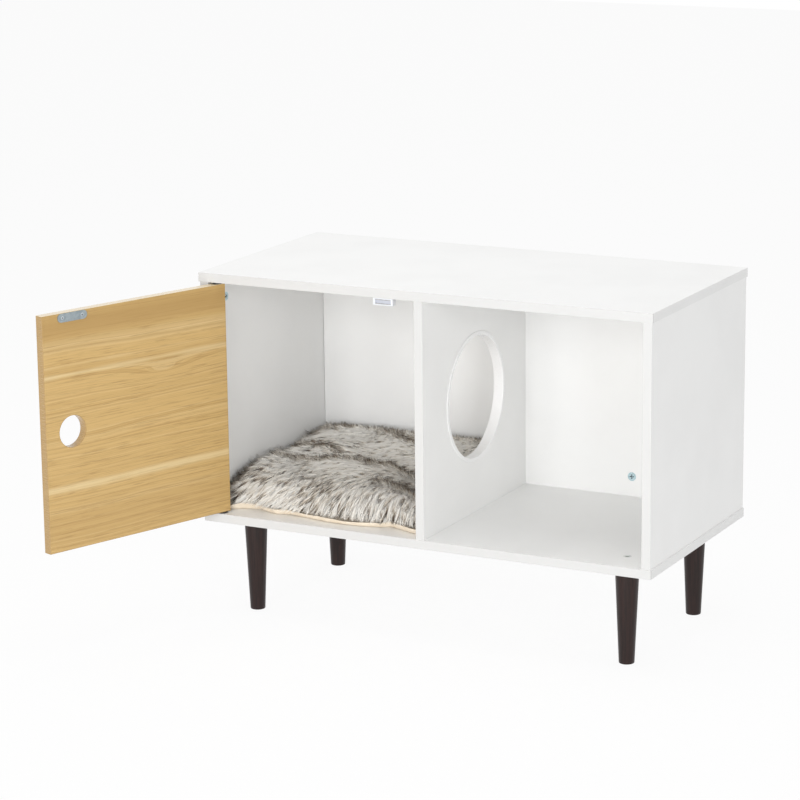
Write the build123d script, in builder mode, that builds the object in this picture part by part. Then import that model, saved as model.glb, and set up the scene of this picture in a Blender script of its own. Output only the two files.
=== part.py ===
from build123d import *
import math
import os

# A low cat house: a cabinet of two open-fronted rooms on four tapered legs. A round passage joins
# the rooms, an inset door on pivot pins closes the left one, and a cushion lies on its floor.
# The origin is at floor level under the middle of the cabinet, with +X right, +Y to the rear and
# +Z up. The door is drawn standing open. All lengths are in millimetres.

# Overall sizes
cabinet_width = 800.0
cabinet_depth = 400.0
inner_height = 390.0
leg_length = 160.0
board = 15.0
back_board = 12.0

# Places of the upright boards
side_inset = 2.0
front_setback = 2.0
back_side_gap = 0.8

# Clearances
fit_gap = 0.1
running_gap = 0.05
seat_gap = 0.3

# Numbers of flats that stand for rounds, so that repeated and soft pieces stay light
ring_sides = 48
visible_sides = 24
cam_sides = 20
hidden_sides = 12
neck_sides = 8
leg_sides = 32

# Edge bands glued on the raw edges of the boards
band = 0.8
band_ease = 0.3
strip_gap = 0.05

# Round passage in the divider and the U-shaped trim pressed on its edge
passage_radius = 104.0
trim_wall = 2.0
trim_lip = 5.0
trim_proud = 1.5

# Cam fasteners
cam_distance = 34.0
cam_edge_inset = 56.0
back_cam_inset = 196.0
cam_radius = 7.5
cam_floor = 2.6
cam_wall = 2.1
cam_cross_length = 8.0
cam_cross_width = 1.6
cam_cross_depth = 2.0
bolt_head_radius = 3.4
bolt_head_length = 3.4
bolt_neck_radius = 2.4
bolt_neck_length = 8.0
bolt_shank_radius = 3.4
bolt_thread_radius = 2.9
bolt_thread_length = 11.0

# Wooden dowels beside the cam fasteners
dowel_radius = 4.0
dowel_in_upright = 20.0
dowel_in_level = 10.0
dowel_spread = 120.0

# Legs, their hanger bolts and the threaded inserts in the floor board
leg_top_radius = 19.5
leg_foot_radius = 12.5
leg_foot_ease = 1.5
leg_inset_x = 64.0
leg_inset_y = 58.5
leg_bolt_radius = 3.9
leg_bolt_in_leg = 30.0
leg_bolt_below_floor = 2.5
insert_radius = 5.2
insert_flange_radius = 6.8
insert_flange = 1.0

# Door and its pivot hinge
door_side_gap = 3.0
door_latch_gap = 4.5
door_end_gap = 3.0
door_open_angle = 110.0
pivot_inset = 10.0
pin_radius = 2.5
pin_in_door = 20.0
pin_in_bush = 9.0
bush_radius = 4.5
bush_depth = 10.0
bush_flange_radius = 7.8
door_hole_radius = 26.5
door_hole_band = 0.8
door_hole_inset = 52.0

# Magnetic catch under the top board and its strike plate on the door
strike_length = 57.0
strike_width = 14.0
strike_thickness = 1.2
strike_inset = 58.5
strike_top_gap = 0.8
strike_screw_spread = 38.0
catch_width = 35.0
catch_height = 15.5
catch_body_depth = 13.0
catch_flange_depth = 13.5
catch_flange = 4.0
catch_draft = 3.0
catch_lip = 1.4
catch_side_wall = 3.4
catch_pocket_height = 8.0
catch_pocket_depth = 10.0
catch_screw_spread = 19.0
pole_plate = 1.2
pole_gap = 0.3
magnet_recess = 1.5

# Countersunk screws of the strike plate and of the catch
screw_head_radius = 3.0
screw_head_height = 1.8
screw_head_rim = 0.3
screw_radius = 1.5
screw_length = 13.0
screw_cross_length = 3.6
screw_cross_width = 0.8
screw_cross_depth = 1.0

# Cushion on the floor of the left room
cushion_side_gap = 1.0
cushion_rear_gap = 1.0
cushion_front_gap = 24.0
cushion_base = 4.0
cushion_height = 63.0
cushion_corner = 42.0
cushion_draw_in = 7.0
corner_steps = 6
side_steps = 6
crown_steps = 8

# Levels and planes that follow from the sizes above
floor_top = leg_length + board
ceiling = floor_top + inner_height
front_y = -cabinet_depth / 2
rear_y = cabinet_depth / 2
upright_front = front_y + front_setback
side_middle_x = cabinet_width / 2 - side_inset - board / 2
side_inner_x = side_middle_x - board / 2
back_front_y = rear_y - back_board
back_middle_y = rear_y - back_board / 2
side_cam_ys = (upright_front + cam_edge_inset, rear_y - cam_edge_inset)
divider_cam_ys = (upright_front + cam_edge_inset, back_front_y - cam_edge_inset)
back_cam_x = cabinet_width / 2 - back_cam_inset
dowel_ys = (-dowel_spread / 2, dowel_spread / 2)
leg_x = cabinet_width / 2 - leg_inset_x
leg_y = cabinet_depth / 2 - leg_inset_y
passage_y = (upright_front + back_front_y) / 2
passage_z = floor_top + inner_height / 2

# The door lies in its own frame: x runs from the pivot to the free edge, y leaves the inner face
door_width = side_inner_x - board / 2 - door_side_gap - door_latch_gap
door_height = inner_height - 2 * door_end_gap
door_bottom = floor_top + door_end_gap
door_top = door_bottom + door_height
pivot_x = -side_inner_x + door_side_gap + pivot_inset
pivot_y = upright_front + board / 2
door_turn = math.radians(door_open_angle)
door_axis = (math.cos(door_turn), -math.sin(door_turn), 0)
door_frame = Plane(origin=(pivot_x, pivot_y, door_bottom), x_dir=door_axis, z_dir=(0, 0, 1))
door_reach = door_width - pivot_inset
door_middle = door_width / 2 - pivot_inset
door_head = Plane(origin=(pivot_x, pivot_y, door_top), z_dir=(0, 0, 1))
door_foot = Plane(origin=(pivot_x, pivot_y, door_bottom), z_dir=(0, 0, -1))
upper_pivot = Plane(origin=(pivot_x, pivot_y, ceiling), z_dir=(0, 0, -1))
lower_pivot = Plane(origin=(pivot_x, pivot_y, floor_top), z_dir=(0, 0, 1))
inner_face = Plane(
    origin=door_frame.from_local_coords((0, board / 2, 0)),
    x_dir=door_frame.x_dir * -1,
    z_dir=door_frame.y_dir,
)


def finish(piece, name):
    """Label a piece and write its file."""
    piece.part.label = name
    export_step(piece.part, os.path.join("parts", name + ".step"))


def on_inner_face(along, height):
    """A place on the door's inner face, from the pivot and the door's foot."""
    return (-along, height)


def foot_joints(centres, normal):
    """Planes on the joints at the foot of upright boards, z into the floor board."""
    return [Plane(origin=(x, y, floor_top), x_dir=normal, z_dir=(0, 0, -1)) for x, y in centres]


def head_joints(centres, normal):
    """Planes on the joints at the head of upright boards, z into the top board."""
    return [Plane(origin=(x, y, ceiling), x_dir=normal, z_dir=(0, 0, 1)) for x, y in centres]


def cam_seats(centres, normal, thickness):
    """Planes on an upright's face where its cams sit: z leaves the face, x runs to the joint."""
    seats = []
    for x, y in centres:
        face = Vector(x, y, 0) + Vector(*normal) * (thickness / 2)
        low = face + Vector(0, 0, floor_top + cam_distance)
        high = face + Vector(0, 0, ceiling - cam_distance)
        seats.append(Plane(origin=low, x_dir=(0, 0, -1), z_dir=normal))
        seats.append(Plane(origin=high, x_dir=(0, 0, 1), z_dir=normal))
    return seats


def reversed_planes(planes):
    """The same places, each looking the other way."""
    return [-plane for plane in planes]


def cam_depth(thickness):
    """How deep a cam reaches into a board of this thickness."""
    return thickness - cam_floor


# Joint places of each upright board
facing_right = (1, 0, 0)
facing_left = (-1, 0, 0)
facing_front = (0, -1, 0)
left_centres = [(-side_middle_x, y) for y in side_cam_ys]
right_centres = [(side_middle_x, y) for y in side_cam_ys]
divider_centres = [(0, y) for y in divider_cam_ys]
back_centres = [(x, back_middle_y) for x in (-back_cam_x, back_cam_x)]
bolt_feet = (
    foot_joints(left_centres, facing_right)
    + foot_joints(right_centres, facing_left)
    + foot_joints(divider_centres, facing_left)
    + foot_joints(back_centres, facing_front)
)
bolt_heads = (
    head_joints(left_centres, facing_right)
    + head_joints(right_centres, facing_left)
    + head_joints(divider_centres, facing_left)
    + head_joints(back_centres, facing_front)
)
left_dowels = [(-side_middle_x, y) for y in dowel_ys]
right_dowels = [(side_middle_x, y) for y in dowel_ys]
divider_dowels = [(0, y) for y in dowel_ys]
all_dowels = left_dowels + right_dowels + divider_dowels
dowel_feet = foot_joints(all_dowels, facing_right)
dowel_heads = head_joints(all_dowels, facing_right)
leg_places = {
    "front_left": (-leg_x, -leg_y),
    "front_right": (leg_x, -leg_y),
    "rear_left": (-leg_x, leg_y),
    "rear_right": (leg_x, leg_y),
}

# Catch and strike meet when the door is shut
strike_along = door_reach - strike_inset
strike_height = door_height - strike_top_gap - strike_width / 2
strike_screw_places = [
    on_inner_face(strike_along - strike_screw_spread / 2, strike_height),
    on_inner_face(strike_along + strike_screw_spread / 2, strike_height),
]
catch_x = pivot_x + strike_along
pole_front_y = pivot_y + board / 2 + strike_thickness + pole_gap
catch_front_y = pole_front_y + pole_gap
catch_back_y = catch_front_y + catch_body_depth + catch_flange_depth
catch_screw_y = catch_back_y - catch_flange_depth / 2
catch_screw_xs = (catch_x - catch_screw_spread / 2, catch_x + catch_screw_spread / 2)
catch_screws_at = [
    Plane(origin=(x, catch_screw_y, ceiling - catch_flange), z_dir=(0, 0, -1)) for x in catch_screw_xs
]

os.makedirs("parts", exist_ok=True)


def mouths(planes, radius, sides):
    """The outlines of bores, one on each plane."""
    with BuildSketch(*planes) as outlines:
        RegularPolygon(radius + fit_gap, sides)
    return outlines.sketch


def drill(planes, radius, sides, depth):
    """Bore the board being built at each plane, against the plane's z."""
    extrude(mouths(planes, radius, sides), amount=-depth - fit_gap, mode=Mode.SUBTRACT)


# Top board, drilled from below for bolts, dowels, the upper bush and the catch screws
with BuildPart() as top_panel:
    with BuildSketch(Plane.XY.offset(ceiling)):
        Rectangle(cabinet_width - 2 * band, cabinet_depth - 2 * band)
    extrude(amount=board)
    drill(reversed_planes(bolt_heads), bolt_thread_radius, hidden_sides, bolt_thread_length)
    drill(reversed_planes(dowel_heads), dowel_radius, hidden_sides, dowel_in_level)
    drill([upper_pivot], bush_radius, visible_sides, bush_depth)
    catch_pilots = [plane.offset(-catch_flange) for plane in catch_screws_at]
    drill(catch_pilots, screw_radius, hidden_sides, screw_length - catch_flange)
finish(top_panel, "top_panel")

# Floor board, drilled from above, with counterbored holes for the leg inserts
with BuildPart() as bottom_panel:
    with BuildSketch(Plane.XY.offset(leg_length)):
        Rectangle(cabinet_width - 2 * band, cabinet_depth - 2 * band)
    extrude(amount=board)
    drill(reversed_planes(bolt_feet), bolt_thread_radius, hidden_sides, bolt_thread_length)
    drill(reversed_planes(dowel_feet), dowel_radius, hidden_sides, dowel_in_level)
    drill([lower_pivot], bush_radius, visible_sides, bush_depth)
    insert_mouths = [Plane(origin=(x, y, floor_top)) for x, y in leg_places.values()]
    drill(insert_mouths, insert_radius, hidden_sides, board)
    drill(insert_mouths, insert_flange_radius, visible_sides, insert_flange - fit_gap)
finish(bottom_panel, "bottom_panel")


def side_panel(centres, dowels, normal):
    """A side board with its cam, bolt and dowel bores, banded at the front and rear edges."""
    middle_x = centres[0][0]
    middle_y = (upright_front + rear_y) / 2
    with BuildPart() as panel:
        with BuildSketch(Plane.XY.offset(floor_top)):
            with Locations((middle_x, middle_y)):
                Rectangle(board, rear_y - upright_front - 2 * band)
        extrude(amount=inner_height)
        for joints in (foot_joints, head_joints):
            drill(joints(centres, normal), bolt_shank_radius, hidden_sides, cam_distance)
            drill(joints(dowels, normal), dowel_radius, hidden_sides, dowel_in_upright)
        drill(cam_seats(centres, normal, board), cam_radius, cam_sides, cam_depth(board))
    return panel


left_side_panel = side_panel(left_centres, left_dowels, facing_right)
finish(left_side_panel, "left_side_panel")
right_side_panel = side_panel(right_centres, right_dowels, facing_left)
finish(right_side_panel, "right_side_panel")

# Divider with the round passage
passage_plane = Plane(origin=(0, passage_y, passage_z), z_dir=facing_right)
with BuildPart() as divider_panel:
    with BuildSketch(Plane.XY.offset(floor_top)):
        with Locations((0, (upright_front + band + back_front_y) / 2)):
            Rectangle(board, back_front_y - upright_front - band)
    extrude(amount=inner_height)
    with BuildSketch(passage_plane.offset(-board / 2)):
        RegularPolygon(passage_radius, ring_sides)
    extrude(amount=board, mode=Mode.SUBTRACT)
    for joints in (foot_joints, head_joints):
        drill(joints(divider_centres, facing_left), bolt_shank_radius, hidden_sides, cam_distance)
        drill(joints(divider_dowels, facing_left), dowel_radius, hidden_sides, dowel_in_upright)
    drill(cam_seats(divider_centres, facing_left, board), cam_radius, cam_sides, cam_depth(board))
finish(divider_panel, "divider_panel")

# Back board between the sides
with BuildPart() as back_panel:
    with BuildSketch(Plane.XY.offset(floor_top)):
        with Locations((0, back_middle_y)):
            Rectangle(2 * (side_inner_x - back_side_gap), back_board)
    extrude(amount=inner_height)
    for joints in (foot_joints, head_joints):
        drill(joints(back_centres, facing_front), bolt_shank_radius, hidden_sides, cam_distance)
    drill(cam_seats(back_centres, facing_front, back_board), cam_radius, cam_sides, cam_depth(back_board))
finish(back_panel, "back_panel")


def edge_strip(start, along, outward, length):
    """An edge band with eased corners: start is the middle of its outer face at one end."""
    half = board / 2
    with BuildPart() as strip:
        with BuildSketch(Plane(origin=start, x_dir=outward, z_dir=along)):
            with BuildLine():
                Polyline(
                    (-band, -half),
                    (-band_ease, -half),
                    (0, -half + band_ease),
                    (0, half - band_ease),
                    (-band_ease, half),
                    (-band, half),
                    close=True,
                )
            make_face()
        extrude(amount=length)
    return strip.part


def level_board_bands(underside):
    """The four strips round a level board: the long ones cover the ends of the short ones."""
    level = underside + board / 2
    short_start = front_y + band + strip_gap
    short_length = cabinet_depth - 2 * (band + strip_gap)
    with BuildPart() as bands:
        add(edge_strip((-cabinet_width / 2, front_y, level), facing_right, (0, -1, 0), cabinet_width))
        add(edge_strip((-cabinet_width / 2, rear_y, level), facing_right, (0, 1, 0), cabinet_width))
        add(edge_strip((-cabinet_width / 2, short_start, level), (0, 1, 0), (-1, 0, 0), short_length))
        add(edge_strip((cabinet_width / 2, short_start, level), (0, 1, 0), (1, 0, 0), short_length))
    return bands


top_panel_edging = level_board_bands(ceiling)
finish(top_panel_edging, "top_panel_edging")
bottom_panel_edging = level_board_bands(leg_length)
finish(bottom_panel_edging, "bottom_panel_edging")


def side_bands(middle_x):
    """The front and rear strips of a side board."""
    with BuildPart() as bands:
        add(edge_strip((middle_x, upright_front, floor_top), (0, 0, 1), (0, -1, 0), inner_height))
        add(edge_strip((middle_x, rear_y, floor_top), (0, 0, 1), (0, 1, 0), inner_height))
    return bands


left_side_edging = side_bands(-side_middle_x)
finish(left_side_edging, "left_side_edging")
right_side_edging = side_bands(side_middle_x)
finish(right_side_edging, "right_side_edging")

with BuildPart() as divider_edging:
    add(edge_strip((0, upright_front, floor_top), (0, 0, 1), (0, -1, 0), inner_height))
finish(divider_edging, "divider_edging")

# U-shaped trim that clips over the edge of the round passage: a sleeve between two lips
trim_half = board / 2 + trim_proud
trim_inner = passage_radius - trim_wall
trim_outer = passage_radius + trim_lip
trim_steps = [
    (trim_outer, -trim_half, -board / 2),
    (passage_radius - fit_gap, -board / 2, board / 2),
    (trim_outer, board / 2, trim_half),
]
with BuildPart() as passage_trim:
    for rim_radius, start, end in trim_steps:
        with BuildSketch(passage_plane.offset(start)):
            RegularPolygon(rim_radius, ring_sides)
            RegularPolygon(trim_inner, ring_sides, mode=Mode.SUBTRACT)
        extrude(amount=end - start)
finish(passage_trim, "passage_trim")


def ringed_solid(rings):
    """A solid of flat faces between rings of points, covered at the first and the last ring."""
    faces = [Face(Wire.make_polygon(rings[0])), Face(Wire.make_polygon(rings[-1]))]
    for ring, next_ring in zip(rings, rings[1:]):
        for corner in range(len(ring)):
            before = corner - 1
            outline = (ring[before], ring[corner], next_ring[corner], next_ring[before])
            faces.append(Face(Wire.make_polygon(outline)))
    return Solid(Shell(faces))


def tapered_piece(profile, sides):
    """A turned shape drawn with flats, from the (radius, height) points of its outline."""
    turns = [2 * math.pi * side / sides for side in range(sides)]
    rings = []
    for radius, height in profile:
        rings.append([(radius * math.cos(turn), radius * math.sin(turn), height) for turn in turns])
    return ringed_solid(rings)


def stacked_prisms(steps):
    """Prisms on one axis, each given by its radius, its number of flats, and where it starts and ends."""
    with BuildPart() as stack:
        for radius, sides, start, end in steps:
            with BuildSketch(Plane.XY.offset(start)):
                RegularPolygon(radius, sides)
            extrude(amount=end - start)
    return stack.part


def cross_outline(length, width):
    """The outline of a cross recess, flat on the XY plane."""
    with BuildSketch() as cross:
        Rectangle(length, width)
        Rectangle(width, length)
    return cross.sketch


# A cam is a cup, open below: a chamber takes the bolt's head, with a gate to let it in at the side
# and a slot for the bolt's neck, and the shoulder under the head bears on the chamber's front wall
head_room = bolt_head_radius + seat_gap
neck_room = bolt_neck_radius + seat_gap
chamber_front = math.sqrt((cam_radius - cam_wall) ** 2 - head_room**2)


def make_cam(thickness):
    """A cam for a board of this thickness, its face at the origin and its slot towards +X."""
    depth = cam_depth(thickness)
    bolt_level = -thickness / 2
    with BuildPart() as cam:
        with BuildSketch():
            RegularPolygon(cam_radius, cam_sides)
        extrude(amount=-depth)
        with BuildSketch(Plane.XY.offset(-depth)):
            with Locations((chamber_front, head_room)):
                Rectangle(chamber_front + head_room, cam_radius + head_room, align=(Align.MAX, Align.MAX))
        extrude(amount=depth + bolt_level + head_room, mode=Mode.SUBTRACT)
        with BuildSketch(Plane.XY.offset(bolt_level - neck_room)):
            with Locations((0, neck_room)):
                Rectangle(cam_radius, cam_radius + neck_room, align=(Align.MIN, Align.MAX))
        extrude(amount=2 * neck_room, mode=Mode.SUBTRACT)
        extrude(cross_outline(cam_cross_length, cam_cross_width), amount=-cam_cross_depth, mode=Mode.SUBTRACT)
    return cam.part


bolt_shoulder = chamber_front - fit_gap - cam_distance
bolt_neck_end = bolt_shoulder + bolt_neck_length
cam_bolt = stacked_prisms(
    [
        (bolt_head_radius, hidden_sides, bolt_shoulder - bolt_head_length, bolt_shoulder),
        (bolt_neck_radius, neck_sides, bolt_shoulder, bolt_neck_end),
        (bolt_shank_radius, hidden_sides, bolt_neck_end, 0),
        (bolt_thread_radius, hidden_sides, 0, bolt_thread_length),
    ]
)
dowel = stacked_prisms([(dowel_radius, hidden_sides, -dowel_in_upright, dowel_in_level)])


def placed_group(unit, planes):
    """Copies of one piece, one on each plane, as separate solids."""
    with BuildPart() as group:
        with Locations(*planes):
            add(unit)
    return group


board_cam = make_cam(board)
left_side_cams = placed_group(board_cam, cam_seats(left_centres, facing_right, board))
finish(left_side_cams, "left_side_cams")
right_side_cams = placed_group(board_cam, cam_seats(right_centres, facing_left, board))
finish(right_side_cams, "right_side_cams")
divider_cams = placed_group(board_cam, cam_seats(divider_centres, facing_left, board))
finish(divider_cams, "divider_cams")
back_cams = placed_group(make_cam(back_board), cam_seats(back_centres, facing_front, back_board))
finish(back_cams, "back_cams")
lower_cam_bolts = placed_group(cam_bolt, bolt_feet)
finish(lower_cam_bolts, "lower_cam_bolts")
upper_cam_bolts = placed_group(cam_bolt, bolt_heads)
finish(upper_cam_bolts, "upper_cam_bolts")
lower_dowels = placed_group(dowel, dowel_feet)
finish(lower_dowels, "lower_dowels")
upper_dowels = placed_group(dowel, dowel_heads)
finish(upper_dowels, "upper_dowels")

# Tapered legs, each bored at the top for its hanger bolt
leg_profile = [
    (leg_foot_radius - leg_foot_ease, 0),
    (leg_foot_radius, leg_foot_ease),
    (leg_top_radius, leg_length),
]
with BuildPart() as leg:
    add(tapered_piece(leg_profile, leg_sides))
    drill([Plane(origin=(0, 0, leg_length))], leg_bolt_radius, hidden_sides, leg_bolt_in_leg)
for place, (x, y) in leg_places.items():
    placed_leg = placed_group(leg.part, [Plane(origin=(x, y, 0))])
    finish(placed_leg, "leg_" + place)

leg_bolt_top = board - leg_bolt_below_floor
leg_bolt = stacked_prisms([(leg_bolt_radius, hidden_sides, -leg_bolt_in_leg, leg_bolt_top)])
with BuildPart() as leg_insert:
    add(
        stacked_prisms(
            [
                (insert_radius, hidden_sides, 0, board - insert_flange),
                (insert_flange_radius, visible_sides, board - insert_flange, board),
            ]
        )
    )
    drill([Plane(origin=(0, 0, board))], leg_bolt_radius, hidden_sides, board)
leg_tops = [Plane(origin=(x, y, leg_length)) for x, y in leg_places.values()]
leg_hanger_bolts = placed_group(leg_bolt, leg_tops)
finish(leg_hanger_bolts, "leg_hanger_bolts")
leg_inserts = placed_group(leg_insert.part, leg_tops)
finish(leg_inserts, "leg_inserts")


def countersunk(clearance):
    """The shape of a countersunk screw, its head's face at the origin, widened by a clearance."""
    profile = [
        (screw_head_radius + clearance, clearance),
        (screw_head_radius + clearance, -screw_head_rim - clearance),
        (screw_radius + clearance, -screw_head_height - clearance),
        (screw_radius + clearance, -screw_length),
    ]
    return tapered_piece(profile, hidden_sides)


with BuildPart() as screw:
    add(countersunk(0))
    screw_cross = cross_outline(screw_cross_length, screw_cross_width)
    extrude(screw_cross, amount=-screw_cross_depth, mode=Mode.SUBTRACT)
sink = countersunk(fit_gap)

# Seats of the strike plate's screws
strike_face = inner_face.offset(strike_thickness)
strike_screw_planes = [Plane(strike_face.location * Location(place)) for place in strike_screw_places]

# Door board with its finger hole, pin bores and the pilot holes of the strike plate
with BuildPart() as door_panel:
    with BuildSketch(door_frame.offset(band)):
        with Locations((door_middle, 0)):
            Rectangle(door_width - 2 * band, board)
    extrude(amount=door_height - 2 * band)
    with BuildSketch(inner_face):
        with Locations(on_inner_face(door_reach - door_hole_inset, door_height / 2)):
            RegularPolygon(door_hole_radius, ring_sides)
    extrude(amount=-board, mode=Mode.SUBTRACT)
    with Locations(door_head, door_foot):
        Hole(pin_radius + running_gap, pin_in_door + fit_gap)
    with Locations(*strike_screw_planes):
        add(sink, mode=Mode.SUBTRACT)
finish(door_panel, "door_panel")


def door_point(along, height):
    """A point in the middle of the door's thickness."""
    return door_frame.from_local_coords((along, 0, height))


# Edge bands of the door: the level ones are bored for the pins and cover the upright ones
door_outward = door_frame.x_dir
door_inward = door_frame.x_dir * -1
upright_length = door_height - 2 * (band + strip_gap)
with BuildPart() as door_edging:
    add(edge_strip(door_point(-pivot_inset, door_height), door_outward, (0, 0, 1), door_width))
    add(edge_strip(door_point(-pivot_inset, 0), door_outward, (0, 0, -1), door_width))
    add(edge_strip(door_point(-pivot_inset, band + strip_gap), (0, 0, 1), door_inward, upright_length))
    add(edge_strip(door_point(door_reach, band + strip_gap), (0, 0, 1), door_outward, upright_length))
    with Locations(door_head):
        Hole(pin_radius + running_gap, door_height)
finish(door_edging, "door_edging")

# Thin band that lines the finger hole
with BuildPart() as door_hole_edging:
    with BuildSketch(inner_face):
        with Locations(on_inner_face(door_reach - door_hole_inset, door_height / 2)):
            RegularPolygon(door_hole_radius - running_gap, ring_sides)
            RegularPolygon(door_hole_radius - door_hole_band, ring_sides, mode=Mode.SUBTRACT)
    extrude(amount=-board)
finish(door_hole_edging, "door_hole_edging")

# Pivot hinge: a flanged bush in each level board and a pin that stands in the door
bush_flange = door_end_gap - seat_gap
with BuildPart() as bush:
    add(
        stacked_prisms(
            [
                (bush_radius, visible_sides, -bush_depth, 0),
                (bush_flange_radius, visible_sides, 0, bush_flange),
            ]
        )
    )
    with Locations((0, 0, bush_flange)):
        Hole(pin_radius + running_gap, bush_depth + bush_flange)
with BuildPart() as pin:
    with BuildSketch(Plane.XY.offset(-pin_in_bush)):
        Circle(pin_radius)
    extrude(amount=pin_in_bush + door_end_gap + pin_in_door)
hinge_bushes = placed_group(bush.part, [upper_pivot, lower_pivot])
finish(hinge_bushes, "hinge_bushes")
hinge_pins = placed_group(pin.part, [upper_pivot, lower_pivot])
finish(hinge_pins, "hinge_pins")

# Zinc strike plate on the door's inner face
with BuildPart() as strike_plate:
    with BuildSketch(inner_face):
        with Locations(on_inner_face(strike_along, strike_height)):
            SlotOverall(strike_length, strike_width)
    extrude(amount=strike_thickness)
    with Locations(*strike_screw_planes):
        add(sink, mode=Mode.SUBTRACT)
finish(strike_plate, "strike_plate")

strike_screws = placed_group(screw.part, strike_screw_planes)
finish(strike_screws, "strike_screws")

# Catch housing: a body with a pocket that opens to the front, and a screw flange behind it
pocket_floor = ceiling - catch_height + catch_lip
pocket_width = catch_width - 2 * catch_side_wall
pocket_plane = Plane(origin=(catch_x, catch_front_y, pocket_floor), x_dir=facing_right, z_dir=facing_front)
catch_corner = (catch_x - catch_width / 2, catch_front_y, ceiling)
catch_side = Plane(origin=catch_corner, x_dir=(0, 1, 0), z_dir=facing_right)
with BuildPart() as catch_housing:
    with BuildSketch(catch_side):
        with BuildLine():
            Polyline(
                (0, 0),
                (catch_body_depth + catch_flange_depth, 0),
                (catch_body_depth + catch_flange_depth, -catch_flange),
                (catch_body_depth, -catch_flange),
                (catch_body_depth - catch_draft, -catch_height),
                (0, -catch_height),
                close=True,
            )
        make_face()
    extrude(amount=catch_width)
    with BuildSketch(pocket_plane):
        Rectangle(pocket_width, catch_pocket_height, align=(Align.CENTER, Align.MIN))
    extrude(amount=-catch_pocket_depth, mode=Mode.SUBTRACT)
    with Locations(*catch_screws_at):
        add(sink, mode=Mode.SUBTRACT)
finish(catch_housing, "catch_housing")

# Magnet between two pole plates, which reach just past the front of the housing
plate_length = pocket_width - 2 * fit_gap
plate_depth = catch_pocket_depth + pole_gap - fit_gap
magnet_height = catch_pocket_height - 2 * (pole_plate + fit_gap)
with BuildPart() as catch_pole_plates:
    for level in (fit_gap, fit_gap + pole_plate + magnet_height):
        with BuildSketch(pocket_plane.offset(pole_gap)):
            with Locations((0, level)):
                Rectangle(plate_length, pole_plate, align=(Align.CENTER, Align.MIN))
        extrude(amount=-plate_depth)
finish(catch_pole_plates, "catch_pole_plates")

with BuildPart() as catch_magnet:
    with BuildSketch(pocket_plane.offset(-magnet_recess)):
        with Locations((0, fit_gap + pole_plate)):
            Rectangle(plate_length, magnet_height, align=(Align.CENTER, Align.MIN))
    extrude(amount=-(catch_pocket_depth - magnet_recess - fit_gap))
finish(catch_magnet, "catch_magnet")

catch_screws = placed_group(screw.part, catch_screws_at)
finish(catch_screws, "catch_screws")

# Cushion: a cloth base that lies on the floor and a padded top with drawn-in sides and a crown
cushion_width = side_inner_x - board / 2 - 2 * cushion_side_gap
cushion_depth = back_front_y - cushion_rear_gap - upright_front - cushion_front_gap
cushion_x = -(side_inner_x + board / 2) / 2
cushion_y =back_front_y - cushion_rear_gap - cushion_depth / 2
foot_trim_share = 0.06
edge_share = 0.28
crown_share = 0.8


def cushion_outline(trim_share):
    """Points round a four-sided outline, its sides drawn in between rounded corners, trimmed by a share."""
    across = cushion_width / 2 - cushion_corner
    along = cushion_depth / 2 - cushion_corner
    corners = [(across, along), (-across, along), (-across, -along), (across, -along)]
    points = []
    for quarter, (x, y) in enumerate(corners):
        next_x, next_y = corners[(quarter + 1) % len(corners)]
        for step in range(corner_steps + side_steps):
            bend = min(step / corner_steps, 1)
            travel = max(step - corner_steps, 0) / side_steps
            turn = math.pi / 2 * (quarter + bend)
            reach = cushion_corner - cushion_draw_in * math.sin(math.pi * travel)
            spot_x = x + (next_x - x) * travel + reach * math.cos(turn)
            spot_y = y + (next_y - y) * travel + reach * math.sin(turn)
            points.append((spot_x * (1 - trim_share), spot_y * (1 - trim_share)))
    return points


def cushion_ring(level, trim_share):
    """The outline at one level, set in its place on the cabinet's floor."""
    return [(cushion_x + x, cushion_y + y, floor_top + level) for x, y in cushion_outline(trim_share)]


with BuildPart() as cushion_underside:
    add(ringed_solid([cushion_ring(0, foot_trim_share), cushion_ring(cushion_base, foot_trim_share)]))
finish(cushion_underside, "cushion_underside")

# Levels of the padded top: its foot, its widest edge, then a crown that rounds over
cushion_rings = [cushion_ring(cushion_base, foot_trim_share)]
for step in range(crown_steps + 1):
    crown_turn = math.pi / 2 * step / crown_steps
    level_share = edge_share + (1 - edge_share) * math.sin(crown_turn)
    trim_share = crown_share * (1 - math.cos(crown_turn))
    cushion_rings.append(cushion_ring(cushion_base + level_share * cushion_height, trim_share))
with BuildPart() as cushion:
    add(ringed_solid(cushion_rings))
finish(cushion, "cushion")
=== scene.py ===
"""Cat house: a white cabinet of two rooms and a round passage, an oak door and a plush cushion."""

import logging
import math
from abc import ABC, abstractmethod
from dataclasses import dataclass
from enum import Enum
from itertools import product

import bmesh
import bpy
import numpy as np
from mathutils import Matrix, Vector
from mathutils.kdtree import KDTree


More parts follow.
